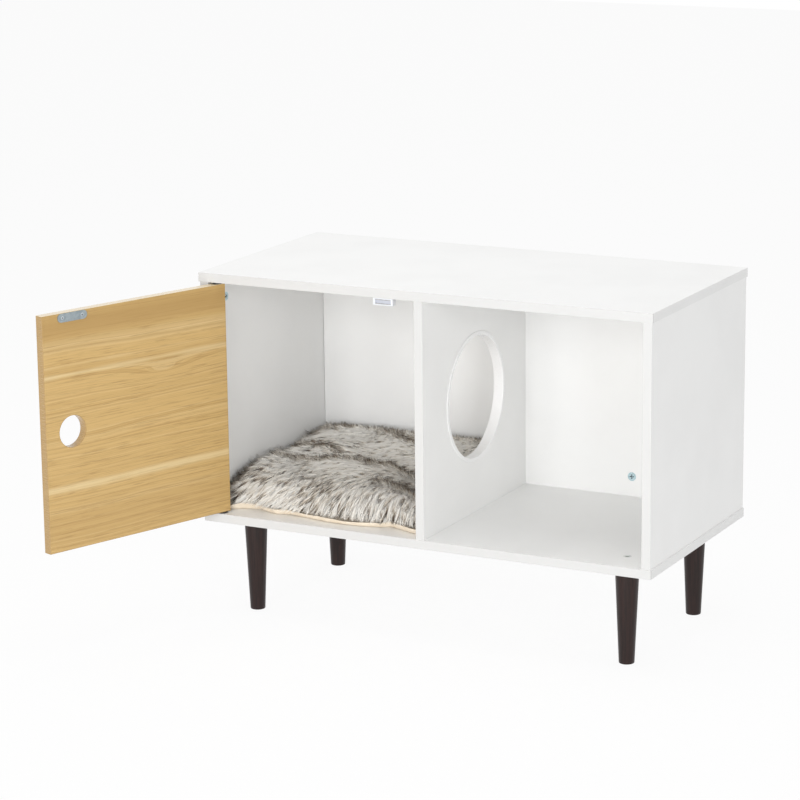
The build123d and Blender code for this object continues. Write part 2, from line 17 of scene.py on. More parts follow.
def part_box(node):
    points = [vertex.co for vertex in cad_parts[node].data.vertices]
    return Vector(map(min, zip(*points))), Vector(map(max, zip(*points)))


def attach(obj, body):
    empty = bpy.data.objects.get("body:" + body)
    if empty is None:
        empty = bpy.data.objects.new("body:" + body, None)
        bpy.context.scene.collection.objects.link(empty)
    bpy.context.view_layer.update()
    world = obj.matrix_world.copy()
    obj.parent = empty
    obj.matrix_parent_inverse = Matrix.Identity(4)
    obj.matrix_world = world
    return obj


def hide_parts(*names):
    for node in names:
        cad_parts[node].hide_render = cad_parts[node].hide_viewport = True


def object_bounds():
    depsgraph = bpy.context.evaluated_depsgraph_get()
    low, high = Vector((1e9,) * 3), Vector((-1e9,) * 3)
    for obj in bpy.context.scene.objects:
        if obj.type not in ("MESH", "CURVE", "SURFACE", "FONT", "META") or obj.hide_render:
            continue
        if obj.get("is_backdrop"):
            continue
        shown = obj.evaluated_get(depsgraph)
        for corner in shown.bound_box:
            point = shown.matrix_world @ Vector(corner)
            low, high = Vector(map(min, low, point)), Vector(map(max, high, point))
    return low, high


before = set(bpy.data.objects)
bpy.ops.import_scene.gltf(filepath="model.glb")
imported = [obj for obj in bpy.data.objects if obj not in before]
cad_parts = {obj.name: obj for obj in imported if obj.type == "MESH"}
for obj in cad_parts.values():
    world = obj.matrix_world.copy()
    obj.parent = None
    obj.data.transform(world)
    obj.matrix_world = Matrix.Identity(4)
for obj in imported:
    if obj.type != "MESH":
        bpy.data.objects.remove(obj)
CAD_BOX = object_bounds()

log = logging.getLogger("cat_house")

MM = 0.001
Colour = tuple[float, float, float, float]
Feed = object  # a node, a socket or a plain value


class Body(Enum):
    """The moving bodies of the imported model."""

    CABINET = "cabinet"
    DOOR = "door"


def paint(red: float, green: float, blue: float) -> Colour:
    """A linear colour for a paint sample.

    Args:
        red, green, blue: the sample as a screen shows it, from 0 to 255.

    Returns:
        The colour as shaders take it, with full alpha.
    """

    def linear(value: float) -> float:
        """One channel without its screen gamma."""
        share = value / 255
        return share / 12.92 if share <= 0.04045 else ((share + 0.055) / 1.055) ** 2.4

    return (linear(red), linear(green), linear(blue), 1.0)


class Graph:
    """Adds nodes to a tree and joins them, for shaders and for Geometry Nodes alike."""

    def __init__(self, tree: bpy.types.NodeTree) -> None:
        """Keeps the tree that the nodes go into."""
        self.tree = tree

    @staticmethod
    def socket_of(sockets: bpy.types.NodeInputs, key: str | int) -> bpy.types.NodeSocket:
        """The socket of that number, or the one of that name that is in use."""
        if isinstance(key, int):
            return sockets[key]
        named = [s for s in sockets if s.name == key]
        return next((s for s in named if s.enabled), named[0])

    def feed(self, socket: bpy.types.NodeSocket, value: Feed) -> None:
        """Joins a node or socket to an input, or sets its plain value."""
        if isinstance(value, bpy.types.Node):
            value = next(s for s in value.outputs if s.enabled)
        if isinstance(value, bpy.types.NodeSocket):
            self.tree.links.new(value, socket)
        else:
            socket.default_value = value

    def add(
        self, kind: str, inputs: dict[str | int, Feed] | None = None, **settings: object
    ) -> bpy.types.Node:
        """Makes a node.

        Args:
            kind: Blender's name for the type of node.
            inputs: what each input socket gets.
            settings: the node's own options.

        Returns:
            The new node.
        """
        node = self.tree.nodes.new(kind)
        for name, value in settings.items():
            setattr(node, name, value)
        for key, value in (inputs or {}).items():
            self.feed(self.socket_of(node.inputs, key), value)
        return node

    def math(self, operation: str, *values: Feed, clamp: bool = False) -> bpy.types.Node:
        """A Math node on the given values."""
        return self.add("ShaderNodeMath", dict(enumerate(values)), operation=operation, use_clamp=clamp)

    def vector(self, operation: str, *values: Feed) -> bpy.types.Node:
        """A Vector Math node on the given values, with a Scale node's number as its last."""
        inputs = dict(enumerate(values))
        if operation == "SCALE":
            inputs = {0: values[0], "Scale": values[1]}
        return self.add("ShaderNodeVectorMath", inputs, operation=operation)

    def stretched(self, place: Feed, scale: tuple[float, float, float]) -> bpy.types.Node:
        """Coordinates stretched by a scale."""
        return self.add("ShaderNodeMapping", {"Vector": place, "Scale": scale})

    def object_place(self, scale: tuple[float, float, float] = (1, 1, 1)) -> bpy.types.Node:
        """Object coordinates, stretched by a scale."""
        return self.stretched(self.add("ShaderNodeTexCoord").outputs["Object"], scale)

    def noise(self, place: Feed, scale: float, detail: float = 2, roughness: float = 0.5) -> Feed:
        """A noise pattern's value.

        Args:
            place: the coordinates it is drawn on.
            scale: its waves in a metre.
            detail: how many finer layers it has.
            roughness: how strong those are.

        Returns:
            The socket that gives its value.
        """
        inputs = {"Vector": place, "Scale": scale, "Detail": detail, "Roughness": roughness}
        return self.add("ShaderNodeTexNoise", inputs, noise_dimensions="3D").outputs["Fac"]

    def lines(self, height: Feed, scale: float, detail: float, roughness: float = 0.55) -> Feed:
        """A noise pattern of one dimension, which draws uneven lines along equal heights."""
        inputs = {"W": height, "Scale": scale, "Detail": detail, "Roughness": roughness}
        return self.add("ShaderNodeTexNoise", inputs, noise_dimensions="1D").outputs["Fac"]

    def spread(
        self, value: Feed, low: float, high: float, to_low: float = 0.0, to_high: float = 1.0
    ) -> Feed:
        """A value carried from one range to another, with a smooth step and no overshoot."""
        inputs = {"Value": value, "From Min": low, "From Max": high, "To Min": to_low, "To Max": to_high}
        return self.add("ShaderNodeMapRange", inputs, interpolation_type="SMOOTHSTEP").outputs["Result"]

    def blend(self, share: Feed, first: Feed, second: Feed) -> Feed:
        """A mix of two colours, with a share of the second."""
        return self.add("ShaderNodeMix", {0: share, 6: first, 7: second}, data_type="RGBA").outputs[2]

    def ramp(self, share: Feed, stops: list[tuple[float, Colour]]) -> Feed:
        """A colour ramp.

        Args:
            share: where on the ramp, from 0 to 1.
            stops: each stop's place and colour.

        Returns:
            The socket that gives the colour.
        """
        node = self.add("ShaderNodeValToRGB", {"Fac": share})
        marks = node.color_ramp.elements
        while len(marks) < len(stops):
            marks.new(0.5)
        for mark, (place, colour) in zip(marks, stops):
            mark.position, mark.color = place, colour
        return node.outputs["Color"]

    def bump(self, height: Feed, depth: float) -> bpy.types.Node:
        """A surface relief of a depth in metres, at full strength."""
        return self.add("ShaderNodeBump", {"Height": height, "Distance": depth, "Strength": 1.0})


@dataclass(frozen=True)
class Finish(ABC):
    """A surface finish, which makes its material once and then gives the same one."""

    name: str

    @abstractmethod
    def dress(self, graph: Graph, shader: bpy.types.Node) -> None:
        """Adds the finish's nodes in front of the shader."""

    def material(self) -> bpy.types.Material:
        """The finish's material.

        Returns:
            The material of this name, made on first use.
        """
        made = bpy.data.materials.get(self.name)
        if made is None:
            made = bpy.data.materials.new(self.name)
            made.use_nodes = True
            made.node_tree.nodes.clear()
            graph = Graph(made.node_tree)
            shader = graph.add("ShaderNodeBsdfPrincipled")
            self.dress(graph, shader)
            graph.add("ShaderNodeOutputMaterial", {"Surface": shader.outputs["BSDF"]})
        return made


@dataclass(frozen=True)
class Moulding(Finish):
    """A plain facing or moulded plastic: a pearl texture and faint mottles in one colour, with painted shade
    on what lies in front where a front place is given.
    """

    colour: Colour
    shade: Colour
    roughness: tuple[float, float] = (0.36, 0.46)
    pearl_scale: float = 700.0
    pearl_depth: float = 0.00003
    mottle_scale: float = 9.0
    # a place in y and a darker colour for what lies in front of it: painted shade on the front-facing faces
    front: tuple[float, Colour] | None = None

    def dress(self, graph: Graph, shader: bpy.types.Node) -> None:
        """Adds the mottled colour, the pearl's relief and gloss, and painted shade on what lies in front."""
        place = graph.object_place()
        mottle = graph.spread(graph.noise(place, self.mottle_scale, detail=4), 0.35, 0.75)
        pearl = graph.noise(place, self.pearl_scale, detail=2, roughness=0.6)
        colour = graph.blend(mottle, self.colour, self.shade)
        # painted shade: faces in front of a place in y take a darker colour, to hold back the strong light
        # from the front
        if self.front:
            level, tone = self.front
            depth = graph.add("ShaderNodeSeparateXYZ", {"Vector": place}).outputs["Y"]
            colour = graph.blend(graph.math("LESS_THAN", depth, level), colour, tone)
        graph.feed(shader.inputs["Base Color"], colour)
        graph.feed(shader.inputs["Roughness"], graph.spread(pearl, 0.3, 0.7, *self.roughness))
        graph.feed(shader.inputs["Normal"], graph.bump(pearl, self.pearl_depth))


@dataclass(frozen=True)
class OakFacing(Finish):
    """Light oak grain with cathedral figures, drawn as contour lines of a height that noise bends."""

    pivot: tuple[float, float]
    opening: float
    light: Colour = paint(229, 208, 162)
    middle: Colour = paint(206, 172, 112)
    dark: Colour = paint(178, 143, 86)
    pore: Colour = paint(150, 116, 66)
    # slow and fine waves of the grain: how far they bend it, and their stretch along, through and up
    wander: float = 0.028
    wander_stretch: tuple[float, float, float] = (2.4, 1.0, 7.0)
    ripple: float = 0.0035
    ripple_stretch: tuple[float, float, float] = (9.0, 4.0, 60.0)
    pore_stretch: tuple[float, float, float] = (18.0, 60.0, 620.0)
    # how many broad bands, growth lines and threads lie in a metre
    line_scales: tuple[float, float, float] = (26.0, 190.0, 620.0)
    # the figure's place along and up, its reach both ways, its rise and how blunt it is
    figure: tuple[float, float] = (0.120, 0.440)
    figure_reach: tuple[float, float] = (0.085, 0.013)
    figure_rise: float = 0.022
    figure_blunt: float = 0.6
    # each streak's height, width and strength, which is under 0 for a dark belt
    streaks: tuple[tuple[float, float, float], ...] = (
        (0.462, 0.0050, 0.6),
        (0.477, 0.0020, 0.35),
        (0.280, 0.0070, 0.6),
        (0.540, 0.0460, -1.0),
        (0.222, 0.0420, -0.45),
    )
    streak_waver: float = 0.010
    streak_edges: tuple[float, float] = (0.0065, 0.0040)
    streak_share: float = 0.8
    # painted highlight: a paler strip of the same oak above a height, for the upper edge that the light
    # falls along
    pale: Colour = paint(244, 228, 194)
    highlight_share: float = 0.7
    highlight_over: float = 1.0
    roughness: tuple[float, float] = (0.38, 0.52)
    relief: float = 0.00004
    coat: float = 0.0
    coat_roughness: float = 0.12

    def bent_height(self, graph: Graph, board: Feed, slow: Feed, along: Feed, height: Feed) -> Feed:
        """The height that the grain follows.

        Args:
            graph: takes the nodes.
            board: the door's own coordinates.
            slow: the same, stretched for the slow waves.
            along, height: the place along the door and up it.

        Returns:
            The height, bent by the waves and by the figure.
        """
        bent = graph.math("MULTIPLY_ADD", graph.noise(slow, 1.0, detail=1), self.wander, height)
        ripple = graph.noise(graph.stretched(board, self.ripple_stretch), 1.0, detail=3)
        bent = graph.math("MULTIPLY_ADD", ripple, self.ripple, bent)
        squares = []
        for place, centre, reach in zip((along, height), self.figure, self.figure_reach):
            away = graph.math("DIVIDE", graph.math("SUBTRACT", place, centre), reach)
            squares.append(graph.math("POWER", away, 2))
        falling = graph.math("POWER", graph.math("ADD", *squares), self.figure_blunt)
        eye = graph.math("EXPONENT", graph.math("MULTIPLY", falling, -1))
        return graph.math("MULTIPLY_ADD", eye, self.figure_rise, bent)

    def tinted(self, graph: Graph, grain: Feed, pores: Feed) -> Feed:
        """The colour of the broad bands, growth lines, threads and pores.

        Args:
            graph: takes the nodes.
            grain: the height that the grain follows.
            pores: the pattern of the pores.

        Returns:
            The colour without streaks.
        """
        bands, rings, threads = self.line_scales
        broad = graph.lines(grain, bands, detail=1)
        growth = graph.lines(grain, rings, detail=4, roughness=0.72)
        fine = graph.lines(grain, threads, detail=3, roughness=0.7)
        # each layer's pattern, where its tint starts and is full, its full share and its tone
        layers = (
            (broad, 0.52, 0.80, 0.30, self.light),
            (broad, 0.48, 0.22, 0.30, self.dark),
            (growth, 0.49, 0.68, 0.58, self.dark),
            (growth, 0.46, 0.26, 0.34, self.light),
            (fine, 0.48, 0.68, 0.42, self.dark),
            (pores, 0.50, 0.70, 0.50, self.pore),
        )
        colour = self.middle
        for pattern, start, full, share, tone in layers:
            colour = graph.blend(graph.spread(pattern, start, full, 0, share), colour, tone)
        return colour

    def streaked(self, graph: Graph, colour: Feed, slow: Feed, height: Feed) -> Feed:
        """The colour with the long pale streaks and the darker belts.

        Args:
            graph: takes the nodes.
            colour: the colour so far.
            slow: coordinates stretched for the slow waves.
            height: the place up the door.

        Returns:
            The colour with all streaks.
        """
        outer, inner = self.streak_edges
        for level, width, strength in self.streaks:
            away = graph.math("ABSOLUTE", graph.math("SUBTRACT", height, level))
            waves = graph.noise(slow, 2.5, detail=3)
            away = graph.math("MULTIPLY_ADD", waves, self.streak_waver, away)
            share = graph.spread(away, outer + width, inner, 0, abs(strength) * self.streak_share)
            colour = graph.blend(share, colour, self.light if strength > 0 else self.dark)
        return colour

    def dress(self, graph: Graph, shader: bpy.types.Node) -> None:
        """Adds the grain in the door's own coordinates: along it, through it and up."""
        turn = Matrix.Rotation(self.opening, 3, "Z")
        inputs = {
            "Vector": graph.add("ShaderNodeTexCoord").outputs["Object"],
            "Location": -(turn @ Vector((*self.pivot, 0))),
            "Rotation": (0, 0, self.opening),
        }
        board = graph.add("ShaderNodeMapping", inputs)
        parts = graph.add("ShaderNodeSeparateXYZ", {"Vector": board})
        along, height = parts.outputs["X"], parts.outputs["Z"]
        slow = graph.stretched(board, self.wander_stretch)
        pores = graph.noise(graph.stretched(board, self.pore_stretch), 1.0, detail=3, roughness=0.65)
        grain = self.bent_height(graph, board, slow, along, height)
        colour = self.streaked(graph, self.tinted(graph, grain, pores), slow, height)
        # painted highlight: above a height the oak turns paler
        upper = graph.math("MULTIPLY", graph.math("GREATER_THAN", height, self.highlight_over), self.highlight_share)
        graph.feed(shader.inputs["Base Color"], graph.blend(upper, colour, self.pale))
        graph.feed(shader.inputs["Roughness"], graph.spread(pores, 0.3, 0.75, *self.roughness))
        graph.feed(shader.inputs["Normal"], graph.bump(pores, self.relief))
        shader.inputs["Coat Weight"].default_value = self.coat
        shader.inputs["Coat Roughness"].default_value = self.coat_roughness


@dataclass(frozen=True)
class Plating(Finish):
    """Plated metal with small cloudy changes in colour and gloss."""

    colour: Colour
    shade: Colour
    roughness: tuple[float, float] = (0.28, 0.42)
    cloud_scale: float = 260.0
    specks_finer: float = 7
    relief: float = 0.00002
    # the colour of the painted shade in narrow recesses, and how far it reaches
    recess_shade: Colour = paint(30, 38, 42)
    shade_reach: float = 0.003

    def dress(self, graph: Graph, shader: bpy.types.Node) -> None:
        """Adds the clouds and the fine relief of the plating, and painted shade in narrow recesses, from
        ambient occlusion.
        """
        place = graph.object_place()
        clouds = graph.noise(place, self.cloud_scale, detail=3, roughness=0.6)
        specks = graph.noise(place, self.cloud_scale * self.specks_finer, detail=1)
        shader.inputs["Metallic"].default_value = 1.0
        colour = graph.blend(graph.spread(clouds, 0.3, 0.7), self.colour, self.shade)
        # painted shade: ambient occlusion darkens the colour in narrow recesses
        reach = {"Distance": self.shade_reach}
        walls = graph.add("ShaderNodeAmbientOcclusion", reach, only_local=True, samples=8)
        colour = graph.blend(graph.spread(walls.outputs["AO"], 0.75, 0.35), colour, self.recess_shade)
        graph.feed(shader.inputs["Base Color"], colour)
        graph.feed(shader.inputs["Roughness"], graph.spread(clouds, 0.3, 0.7, *self.roughness))
        graph.feed(shader.inputs["Normal"], graph.bump(specks, self.relief))


@dataclass(frozen=True)
class TurnedWood(Finish):
    """Wood with its grain upright, stained or bare."""

    colour: Colour
    shade: Colour
    roughness: tuple[float, float] = (0.30, 0.42)
    gloss: float = 0.5
    streak_scale: float = 260.0
    pores_finer: float = 6
    along_grain: float = 0.04
    relief: float = 0.00005

    def dress(self, graph: Graph, shader: bpy.types.Node) -> None:
        """Adds the streaks and pores along the grain."""
        place = graph.object_place((1.0, 1.0, self.along_grain))
        streaks = graph.noise(place, self.streak_scale, detail=4, roughness=0.6)
        pores = graph.noise(place, self.streak_scale * self.pores_finer, detail=2)
        colour = graph.blend(graph.spread(streaks, 0.35, 0.7), self.colour, self.shade)
        graph.feed(shader.inputs["Base Color"], colour)
        graph.feed(shader.inputs["Roughness"], graph.spread(streaks, 0.3, 0.7, *self.roughness))
        graph.feed(shader.inputs["Normal"], graph.bump(pores, self.relief))
        shader.inputs["Specular IOR Level"].default_value = self.gloss


@dataclass(frozen=True)
class WovenCloth(Finish):
    """A plain-woven cloth, its threads running along x and y."""

    colour: Colour
    shade: Colour
    thread: float = 0.0011
    unevenness: float = 0.6
    patch_scale: float = 60.0
    relief: float = 0.0002
    roughness: float = 0.85
    sheen: float = 0.25
    wave_radians: float = 20

    def dress(self, graph: Graph, shader: bpy.types.Node) -> None:
        """Adds the weave's relief, its shadows and the cloth's uneven colour."""
        place = graph.object_place()
        # a wave texture turns this many radians in a unit, so the scale draws a band for each thread
        scale = 2 * math.pi / (self.wave_radians * self.thread)
        bands = []
        for direction in ("X", "Y"):
            inputs = {"Vector": place, "Scale": scale, "Distortion": self.unevenness}
            wave = graph.add("ShaderNodeTexWave", inputs, bands_direction=direction)
            bands.append(wave.outputs["Fac"])
        weave = graph.math("MAXIMUM", *bands)
        patches = graph.spread(graph.noise(place, self.patch_scale, detail=4), 0.4, 0.8, 0, 0.5)
        share = graph.math("MULTIPLY_ADD", graph.spread(weave, 0.9, 0.3), 0.35, patches)
        graph.feed(shader.inputs["Base Color"], graph.blend(share, self.colour, self.shade))
        shader.inputs["Roughness"].default_value = self.roughness
        shader.inputs["Sheen Weight"].default_value = self.sheen
        graph.feed(shader.inputs["Normal"], graph.bump(weave, self.relief))


@dataclass(frozen=True)
class PlushPileFinish(Finish):
    """Long pile, pale at the root and darker at the tip.

    It is drawn on each strand's own map, with the strand's tone across and its length upwards.
    """

    stops: tuple[tuple[float, Colour], ...]
    roughness: tuple[float, float] = (0.62, 0.45)
    sheen: float = 0.4
    gloss: float = 0.35

    def dress(self, graph: Graph, shader: bpy.types.Node) -> None:
        """Adds the colour from the strand's tone and the place along it."""
        strand = graph.add("ShaderNodeUVMap", uv_map=STRAND_MAP)
        parts = graph.add("ShaderNodeSeparateXYZ", {"Vector": strand})
        both = graph.math("ADD", parts.outputs["X"], parts.outputs["Y"])
        share = graph.math("MULTIPLY", both, 0.5, clamp=True)
        graph.feed(shader.inputs["Base Color"], graph.ramp(share, list(self.stops)))
        graph.feed(shader.inputs["Roughness"], graph.spread(parts.outputs["Y"], 0, 1, *self.roughness))
        shader.inputs["Sheen Weight"].default_value = self.sheen
        shader.inputs["Specular IOR Level"].default_value = self.gloss


STRAND_MAP = "OFBake"
PIVOT = (-0.370, -0.1905)
OPENING = math.radians(110)

WHITE_FACING = Moulding("white_facing", paint(247, 247, 246), paint(244, 244, 243))
WHITE_BAND = Moulding(
    "white_band",
    paint(238, 238, 237),
    paint(234, 234, 233),
    roughness=(0.3, 0.42),
    pearl_scale=420,
    pearl_depth=0.00005,
    # painted shade: the bands that face the front are darker, to hold back the front lamp's light
    front=(-0.1975, paint(214, 214, 213)),
)
WHITE_TRIM = Moulding(
    "white_trim", paint(250, 250, 250), paint(247, 247, 247), roughness=(0.26, 0.34), pearl_depth=0.00001
)
CATCH_SHELL = Moulding("catch_shell", paint(238, 241, 247), paint(228, 232, 240), roughness=(0.28, 0.4))
BLACK_NYLON = Moulding("black_nylon", paint(38, 37, 37), paint(52, 50, 50), roughness=(0.4, 0.55))
FERRITE = Moulding(
    "ferrite", paint(196, 200, 211), paint(208, 211, 221), roughness=(0.5, 0.7), pearl_depth=0.0001
)
OAK_FACING = OakFacing("oak_facing", PIVOT, OPENING)
OAK_BAND = OakFacing(
    "oak_band",
    PIVOT,
    OPENING,
    light=paint(190, 158, 104),
    middle=paint(180, 147, 92),
    dark=paint(172, 138, 84),
    pore=paint(166, 132, 80),
    streaks=(),
    roughness=(0.22, 0.32),
    coat=0.45,
    # the painted highlight lies on the door's upper edge only
    highlight_over=0.5615,
)
BLUE_ZINC = Plating("blue_zinc", paint(206, 226, 232), paint(172, 198, 206))
PALE_ZINC = Plating("pale_zinc", paint(232, 233, 231), paint(214, 216, 215), recess_shade=paint(60, 64, 64))
GREY_ZINC = Plating(
    "grey_zinc", paint(180, 191, 196), paint(158, 170, 177), roughness=(0.34, 0.5), cloud_scale=140
)
# the screw heads are paler than the plate: partly brighter plating, partly a painted highlight
SCREW_ZINC_AND_HIGHLIGHT = Plating("screw_zinc_and_highlight", paint(222, 229, 233), paint(200, 209, 215), recess_shade=paint(70, 78, 84))
BRIGHT_STEEL = Plating("bright_steel", paint(196, 196, 198), paint(168, 168, 170))
DARK_STAIN = TurnedWood("dark_stain", paint(44, 28, 25), paint(30, 19, 17), gloss=0.3)
BARE_BEECH = TurnedWood("bare_beech", paint(214, 184, 142), paint(196, 162, 118), roughness=(0.55, 0.7))
CREAM_CLOTH = WovenCloth("cream_cloth", paint(246, 234, 215), paint(222, 204, 176))
KNITTED_GROUND = WovenCloth("knitted_ground", paint(244, 240, 236), paint(222, 215, 208), thread=0.0018)
GREY_PILE = PlushPileFinish(
    "grey_pile",
    (
        (0.0, paint(255, 253, 248)),
        (0.58, paint(253, 249, 241)),
        (0.68, paint(228, 218, 203)),
        (0.77, paint(132, 116, 98)),
        (0.88, paint(56, 43, 31)),
    ),
)

SLOT_FINISHES: dict[str, Finish] = {
    "white_board": WHITE_FACING,
    "white_edging": WHITE_BAND,
    "white_plastic": WHITE_TRIM,
    "zinc": BLUE_ZINC,
    "bolt_steel": BRIGHT_STEEL,
    "strike_zinc": GREY_ZINC,
    "hinge_steel": BRIGHT_STEEL,
    "dowel_wood": BARE_BEECH,
    "dark_leg": DARK_STAIN,
    "oak_board": OAK_FACING,
    "oak_edging": OAK_BAND,
    "black_plastic": BLACK_NYLON,
    "catch_plastic": CATCH_SHELL,
    "magnet": FERRITE,
    "backing_cloth": CREAM_CLOTH,
    "fur": KNITTED_GROUND,
}

NODE_FINISHES: dict[str, Finish] = {"leg_inserts": PALE_ZINC, "strike_screws": SCREW_ZINC_AND_HIGHLIGHT}


def new_piece(name: str, vertices: list | np.ndarray, faces: list[tuple[int, ...]]) -> bpy.types.Object:
    """Makes an object at the origin from points and faces.

    Args:
        name: the piece's name.
        vertices: its points, in metres.
        faces: each face's points by number.

    Returns:
        The new object, its faces smooth except at sharp edges.
    """
    mesh = bpy.data.meshes.new(name)
    mesh.from_pydata([tuple(map(float, v)) for v in vertices], [], faces)
    mesh.validate()
    piece = bpy.data.objects.new(name, mesh)
    bpy.context.scene.collection.objects.link(piece)
    smooth(mesh)
    return piece


def smooth(mesh: bpy.types.Mesh, sharp: float = math.radians(38)) -> None:
    """Shades a mesh smooth, but not across edges sharper than an angle."""
    mesh.shade_smooth()
    mesh.set_sharp_from_angle(angle=sharp)


def baked(piece: bpy.types.Object) -> None:
    """Puts what a piece's modifiers make into its own mesh, and removes them."""
    seen = piece.evaluated_get(bpy.context.evaluated_depsgraph_get())
    mesh = bpy.data.meshes.new_from_object(seen)
    piece.modifiers.clear()
    old, piece.data = piece.data, mesh
    bpy.data.meshes.remove(old)
    mesh.name = piece.name


def hand_over(piece: bpy.types.Object, finish: Finish, slot: str, body: Body, *nodes: str) -> None:
    """Dresses a finished piece and hangs it on its body.

    Args:
        piece: the object.
        finish: what its surface gets.
        slot: not used.
        body: what it rides on.
        nodes: the CAD nodes that it stands for.
    """
    piece.data.materials.clear()
    piece.data.materials.append(finish.material())
    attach(piece, body.value)
    if nodes:
        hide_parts(*nodes)
    faces = sum(len(face.vertices) - 2 for face in piece.data.polygons)
    log.info("%s: %d triangles, rides on %s", piece.name, faces, body.value)


def rounded(
    corners: list[tuple[float, float]], radius: float, steps: int = 4, loop: bool = True
) -> list[tuple[float, float]]:
    """Rounds the corners of an outline.

    Args:
        corners: the outline's corners.
        radius: how far from a corner its rounding starts, or half of a side that is too short.
        steps: the runs that each rounding has.
        loop: False for an open outline, which keeps its two ends.

    Returns:
        The rounded outline's points.
    """
    points: list[tuple[float, float]] = []
    count = len(corners)
    for i, corner in enumerate(corners):
        if not loop and i in (0, count - 1):
            points.append(corner)
            continue
        here = Vector(corner)
        sides = [Vector(corners[(i + step) % count]) - here for step in (-1, 1)]
        start, end = (here + side.normalized() * min(radius, side.length / 2) for side in sides)
        for k in range(steps + 1):
            t = k / steps
            point = start * (1 - t) ** 2 + here * 2 * t * (1 - t) + end * t**2
            points.append((point.x, point.y))
    return points


@dataclass(frozen=True)
class Turning:
    """A shape turned about an axis from (radius, height) points."""

    profile: tuple[tuple[float, float], ...]
    loop: bool
    segments: int = 96

    def piece(self, name: str, place: Matrix) -> bpy.types.Object:
        """Makes the turned piece.

        Args:
            name: the piece's name.
            place: carries the axis z to where the piece goes.

        Returns:
            The new object.
        """
        vertices: list[Vector] = []
        rings: list[list[int]] = []
        for radius, height in self.profile:
            count = 1 if radius < 1e-9 else self.segments
            rings.append(list(range(len(vertices), len(vertices) + count)))
            for k in range(count):
                angle = 2 * math.pi * k / self.segments
                vertices.append(place @ Vector((radius * math.cos(angle), radius * math.sin(angle), height)))
        pairs = list(zip(rings, rings[1:]))
        if self.loop:
            pairs.append((rings[-1], rings[0]))
        faces: list[tuple[int, ...]] = []
        for low, high in pairs:
            for k in range(self.segments):
                after = (k + 1) % self.segments
                lower = (low[k % len(low)], low[after % len(low)])
                upper = (high[after % len(high)], high[k % len(high)])
                faces.append(tuple(dict.fromkeys((*lower, *upper))))
        piece = new_piece(name, vertices, faces)
        face_out(piece.data)
        smooth(piece.data)
        return piece


def face_out(mesh: bpy.types.Mesh) -> None:
    """Turns all faces of a closed mesh outwards."""
    work = bmesh.new()
    work.from_mesh(mesh)
    bmesh.ops.recalc_face_normals(work, faces=work.faces)
    work.to_mesh(mesh)
    work.free()


@dataclass(frozen=True)
class Carcass:
    """The boards, bands, fasteners and catch, which keep their CAD shapes."""

    def build(self) -> None:
        """Gives every CAD node the finish of its slot."""
        for name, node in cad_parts.items():
            for place in node.material_slots:
                finish = NODE_FINISHES.get(name, SLOT_FINISHES[place.name.split(".")[0]])
                place.material = finish.material()
                log.info("%s: %s", name, finish.name)


@dataclass(frozen=True)
class RoundLinings:
    """The two round linings: the passage's white ring and the door's finger hole."""

    trim_wall: float = 2.0 * MM
    trim_lip: float = 7.0 * MM
    trim_proud: float = 1.5 * MM
    trim_round: float = 0.9 * MM
    lining_wall: float = 0.8 * MM
    lining_half: float = 7.5 * MM
    lining_round: float = 0.25 * MM

    def passage_ring(self) -> None:
        """Makes the ring with a lip on each face of the divider."""
        low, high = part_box("passage_trim")
        outer, half = (high.z - low.z) / 2, (high.x - low.x) / 2
        inner, seat = outer - self.trim_lip, outer - self.trim_lip + self.trim_wall
        step = half - self.trim_proud
        corners = [(inner, -half), (outer, -half), (outer, -step), (seat, -step)]
        corners += [(seat, step), (outer, step), (outer, half), (inner, half)]
        profile = tuple(rounded(corners, self.trim_round))
        place = Matrix.Translation((low + high) / 2) @ Matrix.Rotation(math.pi / 2, 4, "Y")
        ring = Turning(profile, loop=True, segments=144).piece("passage_ring", place)
        hand_over(ring, WHITE_TRIM, "white_plastic", Body.CABINET, "passage_trim")

    def finger_lining(self) -> None:
        """Makes the thin lining of the door's hole."""
        low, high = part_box("door_hole_edging")
        outer = (high.z - low.z) / 2
        corners = [(outer - self.lining_wall, -self.lining_half), (outer, -self.lining_half)]
        corners += [(outer, self.lining_half), (outer - self.lining_wall, self.lining_half)]
        profile = tuple(rounded(corners, self.lining_round, steps=2))
        turn = Matrix.Rotation(-OPENING, 4, "Z") @ Matrix.Rotation(-math.pi / 2, 4, "X")
        place = Matrix.Translation((low + high) / 2) @ turn
        lining = Turning(profile, loop=True).piece("finger_hole_lining", place)
        hand_over(lining, OAK_BAND, "oak_edging", Body.DOOR, "door_hole_edging")

    def build(self) -> None:
        """Makes both linings."""
        self.passage_ring()
        self.finger_lining()


@dataclass(frozen=True)
class TurnedLegs:
    """The four tapered legs."""

    foot_radius: float = 12.5 * MM
    edge: float = 1.6 * MM
    corners: tuple[str, ...] = ("front_left", "front_right", "rear_left", "rear_right")

    def build(self) -> None:
        """Makes each leg where its CAD node stands."""
        for corner in self.corners:
            node = f"leg_{corner}"
            low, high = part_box(node)
            top = (high.x - low.x) / 2
            outline = [(0, 0), (self.foot_radius, 0), (top, high.z - low.z), (0, high.z - low.z)]
            profile = tuple(rounded(outline, self.edge, steps=5, loop=False))
            place = Matrix.Translation(((low.x + high.x) / 2, (low.y + high.y) / 2, low.z))
            leg = Turning(profile, loop=False, segments=72).piece(f"turned_{node}", place)
            hand_over(leg, DARK_STAIN, "dark_leg", Body.CABINET, node)


